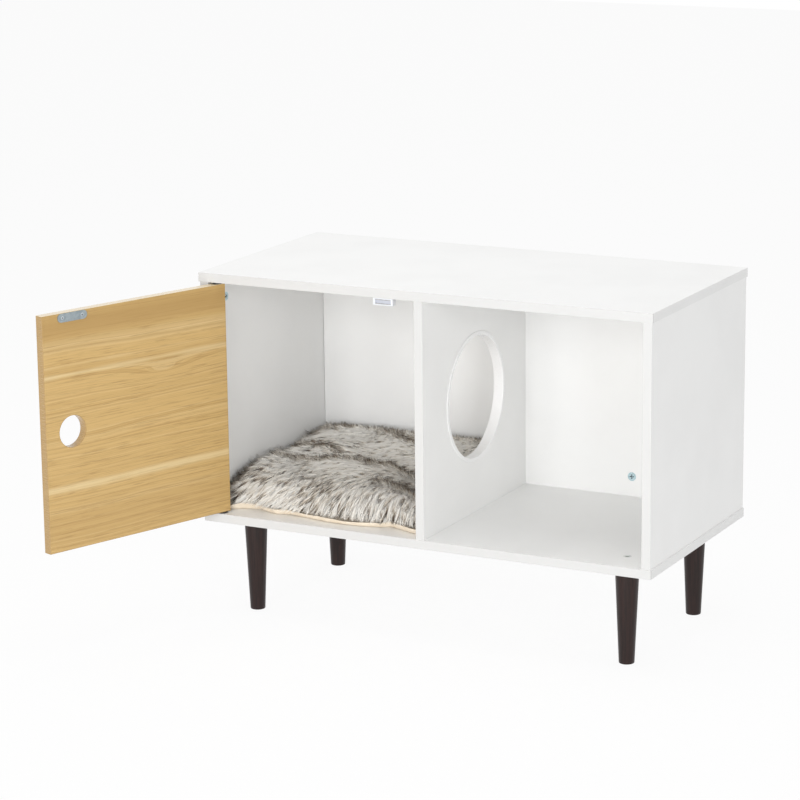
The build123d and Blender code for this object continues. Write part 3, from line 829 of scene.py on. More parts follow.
class Waves:
    """Smooth seeded waves over the plane, for folds and for the lie of the pile."""

    def __init__(self, seed: int, scale: float, count: int = 9) -> None:
        """Draws the waves' directions and phases.

        Args:
            seed: the random seed.
            scale: the mean number of waves in a metre.
            count: how many waves are added up.
        """
        draw = np.random.default_rng(seed)
        angle = draw.uniform(0, 2 * np.pi, count)
        length = scale * draw.uniform(0.6, 1.5, count) * 2 * np.pi
        self.turns = np.stack([np.cos(angle), np.sin(angle)]) * length
        self.phase = draw.uniform(0, 2 * np.pi, count)

    def at(self, plan: np.ndarray) -> np.ndarray:
        """The waves' sum at each plan point, mostly from -1 to 1."""
        return np.sin(plan[:, :2] @ self.turns + self.phase).sum(1) / math.sqrt(len(self.phase) / 2) * 0.7


@dataclass(frozen=True)
class Folds:
    """Creases in the plush, each a run of plan points in millimetres."""

    creases: tuple[tuple[tuple[float, float], ...], ...] = (
        (
            *((-381, -23), (-340, -42), (-303, -46), (-266, -36), (-196, -4)),
            *((-146, -17), (-95, -57), (-50, -80), (-8, -92)),
        ),
        ((-368, 51), (-315, 53), (-280, 25), (-251, -7)),
        ((-239, 149), (-168, 113), (-110, 78), (-40, 60)),
        ((-120, -112), (-80, -122), (-44, -130), (-8, -132)),
    )

    def nearness(self, points: np.ndarray, width: float) -> np.ndarray:
        """How near each point lies to a crease.

        Args:
            points: plan points, in metres.
            width: how far a crease reaches, in metres.

        Returns:
            1 on a crease, falling to 0.
        """
        nearest = np.full(len(points), 1.0)
        for crease in self.creases:
            path = np.array(crease) * MM
            for start, end in zip(path, path[1:]):
                run = end - start
                share = np.clip((points[:, :2] - start) @ run / (run @ run), 0, 1)
                away = np.linalg.norm(points[:, :2] - start - share[:, None] * run, axis=1)
                nearest = np.minimum(nearest, away)
        return np.exp(-((nearest / width) ** 2))


@dataclass(frozen=True)
class Strands:
    """Where the strands of the pile stand and how they lie, a row or a number for each."""

    roots: np.ndarray
    normals: np.ndarray
    flow: np.ndarray
    leaders: np.ndarray
    lock_length: np.ndarray
    lock_tone: np.ndarray
    ridge: np.ndarray
    left: np.ndarray
    fold: np.ndarray


@dataclass(frozen=True)
class LongPile:
    """The cushion's long pile: bent strands in locks, which stand up along the rims and the folds."""

    folds: Folds
    hem: tuple[tuple[float, float, float], ...]
    wall_gap: float
    seed: int
    count: int = 40000
    locks: int = 8500
    strips: int = 6
    sides: int = 3
    runs: int = 4
    fullness: float = 2.2
    flatness: float = 0.25
    root_floor: float = 4 * MM
    # the way that the pile lies, in degrees: at the left and its turn to the right, then in front
    lie: tuple[float, float] = (-132, 22)
    front_lie: tuple[float, float] = (-12, 48)
    # where the front begins and over what depth, and how far slow waves and gravity turn the pile
    front_from: float = -0.02
    front_width: float = 0.13
    lie_waver: float = 0.42
    lie_waves: float = 6.0
    hang: float = 0.75
    # each lock's length, turn and tone, and how much darker the dark ones are and how many
    lock_lengths: tuple[float, float] = (0.80, 1.20)
    lock_turn: float = 0.20
    lock_tone: float = 0.13
    dark_lock: float = 0.60
    dark_locks: float = 0.21
    # the rims: how far from the wall the pile rises, and over what width
    back_rim: tuple[float, float] = (0.048, 0.024)
    left_rim: tuple[float, float] = (0.034, 0.020)
    right_rim: tuple[float, float] = (0.030, 0.020)
    right_from: float = 0.02
    right_share: float = 0.8
    fold_share: float = 0.9
    fold_reach: float = 6.0 * MM
    # a strand's length, longer on the flanks and shorter in the folds
    length: float = 0.032
    flank_length: float = 0.010
    lengths: tuple[float, float] = (0.75, 1.15)
    fold_shorter: float = 0.10
    # how steeply it rises
    lift: float = 0.33
    lift_spread: float = 0.08
    ridge_lift: float = 0.75
    flank_lift: float = 0.10
    lifts: tuple[float, float] = (0.12, 1.2)
    lean: float = 0.80
    ridge_lean: float = 0.62
    wobble: float = 0.06
    middle_rise: float = 0.55
    middle_flow: float = 0.22
    middle_wobble: float = 0.5
    tip_rise: float = 0.78
    sag: float = 0.12
    left_lean: float = 0.30
    # how far a lock's tips draw together, and where a strand that meets a crease may end
    gathering: float = 0.75
    ridge_apart: float = 0.6
    cuts: tuple[float, ...] = (0.9, 0.75, 0.6, 0.45)
    cut_width: float = 0.0035
    cut_fold: float = 0.4
    parting_width: float = 0.0045
    parting_lift: float = 0.005
    # the room that the tips have, and how far they stand over the CAD solid, in millimetres
    hem_cover: tuple[float, float] = (0.045, 0.010)
    overhang: float = 7 * MM
    floor_gap: float = 3 * MM
    headroom: float = 14 * MM
    tip_heights: tuple[float, float] = (3, 14)
    # the tones, from 0 for pale to 1 for dark, with the depths and heights that they change over
    tone: float = 0.15
    brow: float = 0.36
    brow_place: tuple[float, float] = (0.045, 0.030)
    tone_waver: float = 0.16
    tone_waves: float = 11.0
    tone_spread: float = 0.12
    # strands at the creases are darker: partly dark tips that meet there, partly painted shade in the
    # creases
    parting_tone_and_shade: float = 0.55
    ridge_tones: tuple[float, float] = (0.45, 1.0)
    fold_tone_and_shade: float = 0.30
    low_paler: float = 0.95
    low_place: tuple[float, float] = (0.028, 0.016)
    fringe_paler: float = 0.40
    fringe_place: tuple[float, float] = (0.004, 0.008)
    tones: tuple[float, float] = (0.01, 0.99)
    # a strand's half width at its root, in millimetres
    girths: tuple[float, float] = (0.36, 0.60)
    # the side that a strand faces: mostly the surface's own in front, and the object's front at the back
    face_normal: tuple[float, float] = (0.9, 0.5)
    face_front: tuple[float, float] = (0.45, 0.55)
    front: tuple[float, float, float] = (0.18, -1.0, 0.08)
    face_flow: tuple[float, float] = (0.9, 1.4)
    face_spread: float = 0.16
    face_share: float = 0.75
    tone_across: float = 0.006

    def lay(self, plan: np.ndarray) -> np.ndarray:
        """The way that the pile lies.

        Args:
            plan: the strands' roots.

        Returns:
            A level direction for each.
        """
        low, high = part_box("cushion")
        across = (plan[:, 0] - low.x) / (high.x - low.x)
        front = np.clip((self.front_from - plan[:, 1]) / self.front_width, 0, 1)
        start, turn = self.lie
        front_start, front_turn = self.front_lie
        angle = np.radians(start + turn * across + front * (front_start + front_turn * across))
        angle += self.lie_waver * Waves(self.seed + 1, self.lie_waves).at(plan) * (1 - 0.5 * front)
        return np.stack([np.cos(angle), np.sin(angle), np.zeros(len(plan))], 1)

    def ridges(self, roots: np.ndarray) -> tuple[np.ndarray, np.ndarray, np.ndarray]:
        """Finds where the pile stands up.

        Args:
            roots: the strands' roots.

        Returns:
            How upright each strand stands, how near it is to the left wall and how near to a fold.
        """
        low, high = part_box("cushion")
        back = np.clip((roots[:, 1] - (high.y - self.back_rim[0])) / self.back_rim[1], 0, 1)
        left = np.clip((low.x + self.left_rim[0] - roots[:, 0]) / self.left_rim[1], 0, 1)
        right = np.clip((roots[:, 0] - high.x + self.right_rim[0]) / self.right_rim[1], 0, 1)
        right = right * (roots[:, 1] > self.right_from)
        fold = self.folds.nearness(roots, self.fold_reach)
        ridge = np.maximum.reduce([back, left, self.right_share * right, self.fold_share * fold])
        return ridge, left, fold

    def planted(self, body: bpy.types.Object, draw: np.random.Generator) -> Strands:
        """Plants the strands on the body and gathers them into locks.

        Args:
            body: the padded body that the strands stand on.
            draw: the seeded random numbers.

        Returns:
            The strands, from left to right.
        """
        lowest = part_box("cushion")[0].z + self.root_floor
        roots, normals = scatter(body.data, self.count, lowest, draw)
        order = np.argsort(roots[:, 0], kind="stable")
        roots, normals = roots[order], normals[order]
        flow = self.lay(roots)
        flow[:, 2] = -self.hang * np.clip(1 - normals[:, 2], 0, 1)
        flow -= normals * (flow * normals).sum(1, keepdims=True)
        flow /= np.linalg.norm(flow, axis=1, keepdims=True)

        # each lock of strands shares its length, lean and tone
        heads = draw.choice(self.count, self.locks, replace=False)
        tree = KDTree(self.locks)
        for k, root in enumerate(roots[heads]):
            tree.insert(root, k)
        tree.balance()
        lock = np.array([tree.find(root)[1] for root in roots])
        length = draw.uniform(*self.lock_lengths, self.locks)[lock]
        turn = draw.normal(0, self.lock_turn, self.locks)[lock]
        tone = draw.normal(0, self.lock_tone, self.locks)
        tone = tone + self.dark_lock * (draw.random(self.locks) < self.dark_locks)
        crossways = np.cross(normals, flow)
        flow = flow * np.cos(turn)[:, None] + crossways * np.sin(turn)[:, None]
        return Strands(roots, normals, flow, heads[lock], length, tone[lock], *self.ridges(roots))

    def bent(self, strands: Strands, draw: np.random.Generator) -> tuple[np.ndarray, np.ndarray]:
        """Bends the strands.

        Args:
            strands: the planted strands.
            draw: the seeded random numbers.

        Returns:
            Each strand's middle and its tip.
        """
        roots, normals, flow = strands.roots, strands.normals, strands.flow
        ridge, fold = strands.ridge, strands.fold
        steep = np.clip(1 - normals[:, 2], 0, 1)
        upright = normals * (1 - ridge)[:, None] + np.array([0.0, 0.0, 1.0]) * ridge[:, None]
        length = (self.length + self.flank_length * steep) * strands.lock_length
        length = length * draw.uniform(*self.lengths, self.count) * (1 - self.fold_shorter * fold)
        lift = self.lift + self.lift_spread * draw.normal(0, 1, self.count)
        lift = np.clip(lift + self.ridge_lift * ridge - self.flank_lift * steep, *self.lifts)
        lean = (self.lean - self.ridge_lean * ridge)[:, None]
        wobble = draw.normal(0, self.wobble, (self.count, 3))
        rise = upright * (self.middle_rise * lift)[:, None] + flow * self.middle_flow
        rise = (rise + wobble * self.middle_wobble) * length[:, None]
        reach = (upright * (self.tip_rise * lift)[:, None] + flow * lean + wobble) * length[:, None]
        reach[:, 2] -= self.sag * length * (1 - ridge)
        reach[:, 0] -= self.left_lean * length * strands.left

        # a lock's tips draw together, and a strand that meets a crease ends there
        shared = roots[strands.leaders] + reach[strands.leaders]
        reach += (self.gathering * (1 - self.ridge_apart * ridge))[:, None] * (shared - roots - reach)
        kept = np.ones(self.count)
        for share in self.cuts:
            met = self.folds.nearness(roots + reach * share, self.cut_width) > 0.5
            kept[met & (fold < self.cut_fold)] = share
        return roots + rise * kept[:, None], roots + reach * kept[:, None]

    def kept_clear(
        self, middle: np.ndarray, tip: np.ndarray, draw: np.random.Generator
    ) -> tuple[np.ndarray, np.ndarray]:
        """Keeps the strands clear of the walls and of the hem.

        Args:
            middle, tip: the strands' middles and tips.
            draw: the seeded random numbers.

        Returns:
            The middles and the tips, inside their room.
        """
        low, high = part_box("cushion")
        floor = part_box("cushion_underside")[0].z
        marks = np.array(self.hem) * MM
        covered = np.clip((low.y + self.hem_cover[0] - tip[:, 1]) / self.hem_cover[1], 0, 1)
        rim = floor + np.interp(tip[:, 0], marks[:, 0], marks[:, 2]) * covered
        lowest = np.array([low.x + self.wall_gap, low.y - self.overhang, low.z + self.floor_gap])
        highest = np.array(
            [high.x - self.wall_gap, high.y - self.wall_gap / 2, high.z + self.headroom]
        )
        tip, middle = np.clip(tip, lowest, highest), np.clip(middle, lowest, highest)
        tip[:, 2] = np.maximum(tip[:, 2], rim)
        tip[:, 2] = np.minimum(tip[:, 2], high.z + draw.uniform(*self.tip_heights, self.count) * MM)
        return middle, tip

    def toned(
        self, strands: Strands, tip: np.ndarray, parting: np.ndarray, draw: np.random.Generator
    ) -> np.ndarray:
        """Gives each strand its tone.

        Args:
            strands: the planted strands.
            tip: their tips.
            parting: how near each tip lies to a crease.
            draw: the seeded random numbers.

        Returns:
            The tones, from 0 for pale to 1 for dark.
        """
        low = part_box("cushion")[0]
        place, width = self.brow_place
        brow = np.exp(-(((strands.roots[:, 1] - low.y - place) / width) ** 2))
        waver = self.tone_waver * Waves(self.seed + 2, self.tone_waves).at(strands.roots)
        tone = self.tone + self.brow * brow + waver + strands.lock_tone
        tone = tone + draw.normal(0, self.tone_spread, self.count)
        ridge = draw.uniform(*self.ridge_tones, self.count) * strands.ridge
        # partly painted shade: strands near the creases and folds darken, partly as dark tips that meet
        # there
        tone += self.parting_tone_and_shade * parting + ridge + self.fold_tone_and_shade * strands.fold
        place, width = self.low_place
        tone -= self.low_paler * np.clip((low.z + place - strands.roots[:, 2]) / width, 0, 1)
        place, width = self.fringe_place
        tone -= self.fringe_paler * np.clip((low.y + place - tip[:, 1]) / width, 0, 1)
        return np.clip(tone, *self.tones)

    def facing(self, strands: Strands, draw: np.random.Generator) -> np.ndarray:
        """Finds the side that each strand's flat faces.

        Args:
            strands: the planted strands.
            draw: the seeded random numbers.

        Returns:
            A direction for each strand.
        """
        low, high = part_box("cushion")
        flow = strands.flow
        rear = np.clip((strands.roots[:, 1] - low.y) / (high.y - low.y), 0, 1)[:, None]
        own = (self.face_normal[0] - self.face_normal[1] * rear) * strands.normals
        front = (self.face_front[0] + self.face_front[1] * rear) * np.array(self.front)
        facing = own + front
        level = 1 - self.face_flow[0] * np.minimum(1, self.face_flow[1] * rear)
        facing -= level * flow * (facing * flow).sum(1, keepdims=True)
        facing += draw.normal(0, self.face_spread, (self.count, 3))
        facing /= np.linalg.norm(facing, axis=1, keepdims=True)
        return facing

    def build(self, body: bpy.types.Object) -> list[bpy.types.Object]:
        """Makes the long pile in strips, each strand bent along its own curve.

        Args:
            body: the padded body that the strands stand on.

        Returns:
            The strips, from left to right.
        """
        draw = np.random.default_rng(self.seed)
        strands = self.planted(body, draw)
        middle, tip = self.bent(strands, draw)
        parting = self.folds.nearness(tip, self.parting_width)
        tip += strands.normals * (parting * self.parting_lift)[:, None]
        middle, tip = self.kept_clear(middle, tip, draw)
        tone = self.toned(strands, tip, parting, draw)
        girth = draw.uniform(*self.girths, self.count) * MM
        facing = self.facing(strands, draw)
        sideways = np.cross(strands.flow, facing)
        sideways /= np.linalg.norm(sideways, axis=1, keepdims=True)
        facts = {
            "rise": 2 * (middle - strands.roots),
            "sweep": strands.roots - 2 * middle + tip,
            "side": sideways,
            "facing": facing,
            "girth": girth,
            "tone": tone,
        }
        tree = self.strand_tree()
        parts = np.array_split(np.arange(self.count), self.strips)
        return [
            self.strip(number, strands.roots[part], {name: fact[part] for name, fact in facts.items()}, tree)
            for number, part in enumerate(parts, 1)
        ]

    def strip(
        self, number: int, roots: np.ndarray, facts: dict[str, np.ndarray], tree: bpy.types.NodeTree
    ) -> bpy.types.Object:
        """Grows one strip of the pile.

        Args:
            number: the strip's number, from the left.
            roots: where its strands stand.
            facts: what the tree reads for each strand, by name.
            tree: grows the strands.

        Returns:
            The strip.
        """
        strip = new_piece(f"cushion_pile_{number}", roots, [])
        for name, values in facts.items():
            single = values.ndim == 1
            layer = strip.data.attributes.new(name, "FLOAT" if single else "FLOAT_VECTOR", "POINT")
            layer.data.foreach_set("value" if single else "vector", values.ravel())
        grow = strip.modifiers.new("strands", "NODES")
        grow.node_group = tree
        sizes = {
            "Sides": self.sides,
            "Runs": self.runs,
            "Fullness": self.fullness,
            "Flatness": self.flatness,
            "Finish": GREY_PILE.material(),
        }
        for socket in tree.interface.items_tree:
            if socket.item_type == "SOCKET" and socket.in_out == "INPUT" and socket.name in sizes:
                grow[socket.identifier] = sizes[socket.name]
        baked(strip)
        self.shade(strip.data)
        for name in [a.name for a in strip.data.attributes]:
            if name in (*facts, "root", "blade"):
                strip.data.attributes.remove(strip.data.attributes[name])
        return strip

    def shade(self, mesh: bpy.types.Mesh) -> None:
        """Turns each strand's shading towards the side that it faces, so that flat strands shade softly."""
        facing, own = (np.zeros(len(mesh.vertices) * 3) for _ in range(2))
        mesh.attributes["facing"].data.foreach_get("vector", facing)
        mesh.vertex_normals.foreach_get("vector", own)
        mixed = self.face_share * facing.reshape(-1, 3) + (1 - self.face_share) * own.reshape(-1, 3)
        mesh.normals_split_custom_set_from_vertices(mixed / np.linalg.norm(mixed, axis=1, keepdims=True))

    def strand_tree(self) -> bpy.types.NodeTree:
        """Builds the tree that grows a tapered strand on each point and bends it along that point's curve.

        Returns:
            The node group.
        """
        tree = bpy.data.node_groups.new("bent_strands", "GeometryNodeTree")
        sockets = (
            ("Geometry", "NodeSocketGeometry"),
            ("Sides", "NodeSocketInt"),
            ("Runs", "NodeSocketInt"),
            ("Fullness", "NodeSocketFloat"),
            ("Flatness", "NodeSocketFloat"),
            ("Finish", "NodeSocketMaterial"),
        )
        for name, kind in sockets:
            tree.interface.new_socket(name=name, in_out="INPUT", socket_type=kind)
        tree.interface.new_socket(name="Geometry", in_out="OUTPUT", socket_type="NodeSocketGeometry")
        graph = Graph(tree)
        given = graph.add("NodeGroupInput")

        def fact(name: str, kind: str = "FLOAT_VECTOR") -> bpy.types.Node:
            """A point's stored value."""
            return graph.add("GeometryNodeInputNamedAttribute", {"Name": name}, data_type=kind)

        def store(
            geometry: Feed, name: str, value: Feed, kind: str = "FLOAT_VECTOR", domain: str = "POINT"
        ) -> Feed:
            """Stores a value under a name."""
            inputs = {"Geometry": geometry, "Name": name}
            node = graph.add("GeometryNodeStoreNamedAttribute", inputs, data_type=kind, domain=domain)
            graph.feed(graph.socket_of(node.inputs, "Value"), value)
            return node

        place = graph.add("GeometryNodeInputPosition")
        cone = graph.add(
            "GeometryNodeMeshCone",
            {
                "Vertices": given.outputs["Sides"],
                "Side Segments": given.outputs["Runs"],
                "Radius Top": 0.0,
                "Radius Bottom": 1.0,
                "Depth": 1.0,
            },
        )
        blade = store(cone.outputs["Mesh"], "blade", place)
        points = store(given.outputs["Geometry"], "root", place)
        stand = graph.add("GeometryNodeInstanceOnPoints", {"Points": points, "Instance": blade})
        strands = graph.add("GeometryNodeRealizeInstances", {"Geometry": stand})

        parts = graph.add("ShaderNodeSeparateXYZ", {"Vector": fact("blade")})
        along = parts.outputs["Z"]
        rise, sweep, side = fact("rise"), fact("sweep"), fact("side")
        squared = graph.math("MULTIPLY", along, along)
        doubled = graph.math("MULTIPLY", along, 2.0)
        line = graph.vector("ADD", graph.vector("SCALE", rise, along), graph.vector("SCALE", sweep, squared))
        course = graph.vector("ADD", rise, graph.vector("SCALE", sweep, doubled))
        other = graph.vector("NORMALIZE", graph.vector("CROSS_PRODUCT", course, side))
        thick = graph.math("MULTIPLY", parts.outputs["Y"], given.outputs["Flatness"])
        wide = graph.vector("SCALE", side, parts.outputs["X"])
        offset = graph.vector("ADD", wide, graph.vector("SCALE", other, thick))
        fuller = graph.math("MULTIPLY_ADD", along, given.outputs["Fullness"], 1.0)
        offset = graph.vector("SCALE", offset, graph.math("MULTIPLY", fact("girth", "FLOAT"), fuller))
        where = graph.vector("ADD", fact("root"), graph.vector("ADD", line, offset))
        bent = graph.add("GeometryNodeSetPosition", {"Geometry": strands, "Position": where})

        across = graph.math("MULTIPLY_ADD", parts.outputs["X"], self.tone_across, fact("tone", "FLOAT"))
        chart = graph.add("ShaderNodeCombineXYZ", {"X": across, "Y": along})
        mapped = store(bent, STRAND_MAP, chart, "FLOAT2", "CORNER")
        even = graph.add("GeometryNodeSetShadeSmooth", {"Geometry": mapped})
        inputs = {"Geometry": even, "Material": given.outputs["Finish"]}
        dressed = graph.add("GeometryNodeSetMaterial", inputs)
        graph.add("NodeGroupOutput", {"Geometry": dressed})
        return tree


@dataclass(frozen=True)
class PlushCushion:
    """The cushion: a cloth backing, a padded body and its long pile."""

    folds: Folds = Folds()
    # marks along the hem, in millimetres: the place across, the place in front and the lift
    hem: tuple[tuple[float, float, float], ...] = (
        (-380, -170, 6),
        (-365, -173, 7),
        (-350, -163, 11),
        (-322, -153, 9),
        (-305, -161, 6),
        (-284, -168, 6),
        (-261, -161, 7),
        (-222, -168, 6),
        (-184, -175, 6),
        (-149, -176, 6),
        (-118, -173, 6),
        (-90, -165, 6),
        (-76, -156, 10),
        (-53, -165, 9),
        (-28, -175, 8),
        (-10, -178, 7),
    )
    wall_gap: float = 2.0 * MM
    body_inset: float = 6.0 * MM
    front_inset: float = 14.0 * MM
    body_height: float = 47.0 * MM
    crown: float = 13.0 * MM
    voxel: float = 5.0 * MM
    most_swell: float = 5.0 * MM
    pressure: float = 4.0
    frames: int = 20
    crease_depth: float = 3.5 * MM
    crease_width: float = 15.0 * MM
    crease_from: float = 0.3
    crease_full: float = 0.5
    slow_waves: float = 7.0
    slow_depth: float = 0.0035
    seed: int = 11
    # the pillow form: its faces across and deep, its rounding in plan and its fullness to each side
    body_faces: tuple[int, int] = (44, 40)
    plan_rounding: tuple[float, float] = (0.02, 0.06)
    side_fullness: float = 16
    back_fullness: float = 24
    front_fullness: float = 9
    roundness: float = 0.45
    seam_share: float = 0.35
    upper_share: float = 0.65
    belly_share: float = 0.34
    # the backing sheet
    sheet_faces: tuple[int, int] = (150, 40)
    sheet_thickness: float = 1.6 * MM
    sheet_side_gap: float = 1.5 * MM
    sheet_lift: float = 0.3 * MM
    sheet_spacing: float = 1.8
    hem_waver: float = 1.0 * MM
    hem_waves: float = 9.0
    hem_seed: int = 5
    hem_row: float = 0.4
    hem_width: float = 6 * MM

    def form(self, u: float, v: float, upper: bool) -> tuple[float, float, float]:
        """A point of the pillow form before it swells.

        Args:
            u, v: its place across and from front to back, from -1 to 1.
            upper: True on the upper side.

        Returns:
            Its shares of the half width and of the half depth, and its height.
        """
        # a square with rounded corners in plan
        across = u * math.sqrt(1 - self.plan_rounding[0] * v**8)
        deep = v * math.sqrt(1 - self.plan_rounding[1] * u**8)
        # a soft shoulder in front, and full sides where walls press on it
        fullness = self.back_fullness if v > 0 else self.front_fullness
        swell = ((1 - abs(u) ** self.side_fullness) * (1 - abs(v) ** fullness)) ** self.roundness
        rise = self.seam_share * self.body_height
        if upper:
            rise += swell * (self.upper_share * self.body_height + self.crown * (0.5 + 0.5 * v))
        else:
            rise -= swell * self.belly_share * self.body_height
        return across, deep, rise

    def pillow(self) -> bpy.types.Object:
        """Makes the closed pillow form.

        Returns:
            The form, its two sides joined along the rim.
        """
        low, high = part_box("cushion")
        front, back = low.y + self.front_inset, high.y - self.body_inset
        centre = Vector(((low.x + high.x) / 2, (front + back) / 2))
        half = Vector(((high.x - low.x) / 2 - self.body_inset, (back - front) / 2))
        across, deep = self.body_faces
        vertices: list[tuple[float, float, float]] = []
        number: dict[tuple[int, int, int], int] = {}
        for side, i, j in product((0, 1), range(across + 1), range(deep + 1)):
            if side and (i in (0, across) or j in (0, deep)):
                number[side, i, j] = number[0, i, j]
                continue
            x, y, rise = self.form(2 * i / across - 1, 2 * j / deep - 1, bool(side))
            number[side, i, j] = len(vertices)
            vertices.append((centre.x + x * half.x, centre.y + y * half.y, low.z + rise))
        faces = []
        for side, i, j in product((0, 1), range(across), range(deep)):
            corners = ((i, j), (i + 1, j), (i + 1, j + 1), (i, j + 1))
            face = [number[side, *corner] for corner in corners]
            faces.append(tuple(face if side else face[::-1]))
        return new_piece("cushion_body", vertices, faces)

    def padded_body(self) -> bpy.types.Object:
        """Makes the padded body: a pillow form, swollen by a cloth simulation and then creased.

        Returns:
            The finished body.
        """
        body = self.pillow()
        remesh = body.modifiers.new("even_faces", "REMESH")
        remesh.mode, remesh.voxel_size = "VOXEL", self.voxel
        baked(body)
        self.swell(body)
        finer = body.modifiers.new("finer", "SUBSURF")
        finer.levels = finer.render_levels = 1
        baked(body)
        self.crease(body.data)
        smooth(body.data, math.radians(80))
        return body

    def swell(self, body: bpy.types.Object) -> None:
        """Blows the body up with a short cloth simulation, and keeps each point near where it was."""
        start = coordinates(body.data)
        cloth = body.modifiers.new("swell", "CLOTH")
        cloth.settings.use_pressure = True
        cloth.settings.uniform_pressure_force = self.pressure
        cloth.settings.effector_weights.gravity = 0
        cloth.settings.quality = 5
        cloth.point_cache.frame_start, cloth.point_cache.frame_end = 1, self.frames
        scene = bpy.context.scene
        for number in range(1, self.frames + 1):
            scene.frame_set(number)
        baked(body)
        scene.frame_set(1)
        moved = coordinates(body.data) - start
        length = np.linalg.norm(moved, axis=1, keepdims=True)
        moved *= np.minimum(1, self.most_swell / np.maximum(length, 1e-9))
        place_points(body.data, start + moved)

    def crease(self, mesh: bpy.types.Mesh) -> None:
        """Presses the creases and slow waves into the top, and keeps the body in its space."""
        points = coordinates(mesh)
        low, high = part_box("cushion")
        over = points[:, 2] - low.z - self.crease_from * self.body_height
        top = np.clip(over / (self.crease_full * self.body_height), 0, 1)
        points[:, 2] -= top * self.crease_depth * self.folds.nearness(points, self.crease_width)
        points[:, 2] += top * self.slow_depth * Waves(self.seed, self.slow_waves).at(points)
        lowest = np.array([low.x + self.wall_gap, low.y + self.wall_gap, low.z])
        highest = np.array([high.x - self.wall_gap, high.y - self.wall_gap, high.z])
        place_points(mesh, np.clip(points, lowest, highest))

    def sheet_top(self) -> np.ndarray:
        """Lays out the upper side of the backing.

        Returns:
            Its points, by their number across and from front to back.
        """
        low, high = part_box("cushion")
        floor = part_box("cushion_underside")[0].z
        across, deep = self.sheet_faces
        waves = Waves(self.hem_seed, self.hem_waves)
        marks = np.array(self.hem) * MM
        top = np.zeros((across + 1, deep + 1, 3))
        for i in range(across + 1):
            x = low.x + self.sheet_side_gap + (high.x - low.x - 2 * self.sheet_side_gap) * i / across
            front = float(np.interp(x, marks[:, 0], marks[:, 1]))
            lift = float(np.interp(x, marks[:, 0], marks[:, 2]))
            lift += self.hem_waver * waves.at(np.array([[x, self.hem_row]]))[0]
            for j in range(deep + 1):
                y = front + (high.y - self.wall_gap - front) * (j / deep) ** self.sheet_spacing
                turned = max(0.0, 1 - (y - front) / self.hem_width) ** 2
                top[i, j] = (x, y, floor + self.sheet_thickness + self.sheet_lift + lift * turned)
        return top

    def backing(self) -> bpy.types.Object:
        """Makes the cream backing: a thin sheet on the floor whose front edge waves and turns up.

        Returns:
            The finished sheet.
        """
        top = self.sheet_top()
        across, deep = self.sheet_faces
        count = (across + 1) * (deep + 1)
        under = top.copy()
        under[:, :, 2] -= self.sheet_thickness
        vertices = np.concatenate([top.reshape(-1, 3), under.reshape(-1, 3)])
        faces: list[tuple[int, ...]] = []

        def at(i: int, j: int) -> int:
            """The number of a point of the upper side."""
            return i * (deep + 1) + j

        for i, j in product(range(across), range(deep)):
            face = (at(i, j), at(i + 1, j), at(i + 1, j + 1), at(i, j + 1))
            faces.append(face)
            faces.append(tuple(count + k for k in reversed(face)))
        rim = [at(i, 0) for i in range(across)] + [at(across, j) for j in range(deep)]
        rim += [at(i, deep) for i in range(across, 0, -1)] + [at(0, j) for j in range(deep, 0, -1)]
        for here, after in zip(rim, rim[1:] + rim[:1]):
            faces.append((after, here, count + here, count + after))
        sheet = new_piece("cushion_backing", vertices, faces)
        face_out(sheet.data)
        smooth(sheet.data, math.radians(60))
        return sheet

    def build(self) -> None:
        """Makes the backing, the body and the pile."""
        sheet = self.backing()
        hand_over(sheet, CREAM_CLOTH, "backing_cloth", Body.CABINET, "cushion_underside")
        body = self.padded_body()
        hand_over(body, KNITTED_GROUND, "fur", Body.CABINET, "cushion")
        for strip in LongPile(self.folds, self.hem, self.wall_gap, self.seed).build(body):
            hand_over(strip, GREY_PILE, "fur", Body.CABINET, "cushion")


def coordinates(mesh: bpy.types.Mesh) -> np.ndarray:
    """A mesh's points as rows of x, y and z."""
    flat = np.zeros(len(mesh.vertices) * 3)
    mesh.vertices.foreach_get("co", flat)
    return flat.reshape(-1, 3)


def place_points(mesh: bpy.types.Mesh, points: np.ndarray) -> None:
    """Moves a mesh's points."""
    mesh.vertices.foreach_set("co", points.ravel())
    mesh.update()


def scatter(
    mesh: bpy.types.Mesh, count: int, lowest: float, draw: np.random.Generator
) -> tuple[np.ndarray, np.ndarray]:
    """Spreads points evenly over the upper side and the flanks of a mesh.

    Args:
        mesh: the surface.
        count: how many points.
        lowest: the level under which there are none.
        draw: the seeded random numbers.

    Returns:
        The points, and the surface's normal at each.
    """
    mesh.calc_loop_triangles()
    corners = np.zeros(len(mesh.loop_triangles) * 3, int)
    mesh.loop_triangles.foreach_get("vertices", corners)
    corners = corners.reshape(-1, 3)
    points = coordinates(mesh)
    normals = np.zeros(len(mesh.vertices) * 3)
    mesh.vertex_normals.foreach_get("vector", normals)
    normals = normals.reshape(-1, 3)
    three = points[corners]
    area = np.linalg.norm(np.cross(three[:, 1] - three[:, 0], three[:, 2] - three[:, 0]), axis=1)
    mean_normal = normals[corners].mean(1)
    # the underside and the flanks by how far they face up, and how much denser the flanks are
    underside = -0.25
    flank = 0.6
    denser = 1.35
    used = (mean_normal[:, 2] > underside) & (three[:, :, 2].mean(1) > lowest)
    weight = area * used * np.where(mean_normal[:, 2] < flank, denser, 1.0)
    chosen = draw.choice(len(corners), count, p=weight / weight.sum())
    first, second = np.sqrt(draw.random(count)), draw.random(count)
    shares = np.stack([1 - first, first * (1 - second), first * second], 1)[:, :, None]
    found = (three[chosen] * shares).sum(1)
    facing = (normals[corners[chosen]] * shares).sum(1)
    return found, facing / np.linalg.norm(facing, axis=1, keepdims=True)


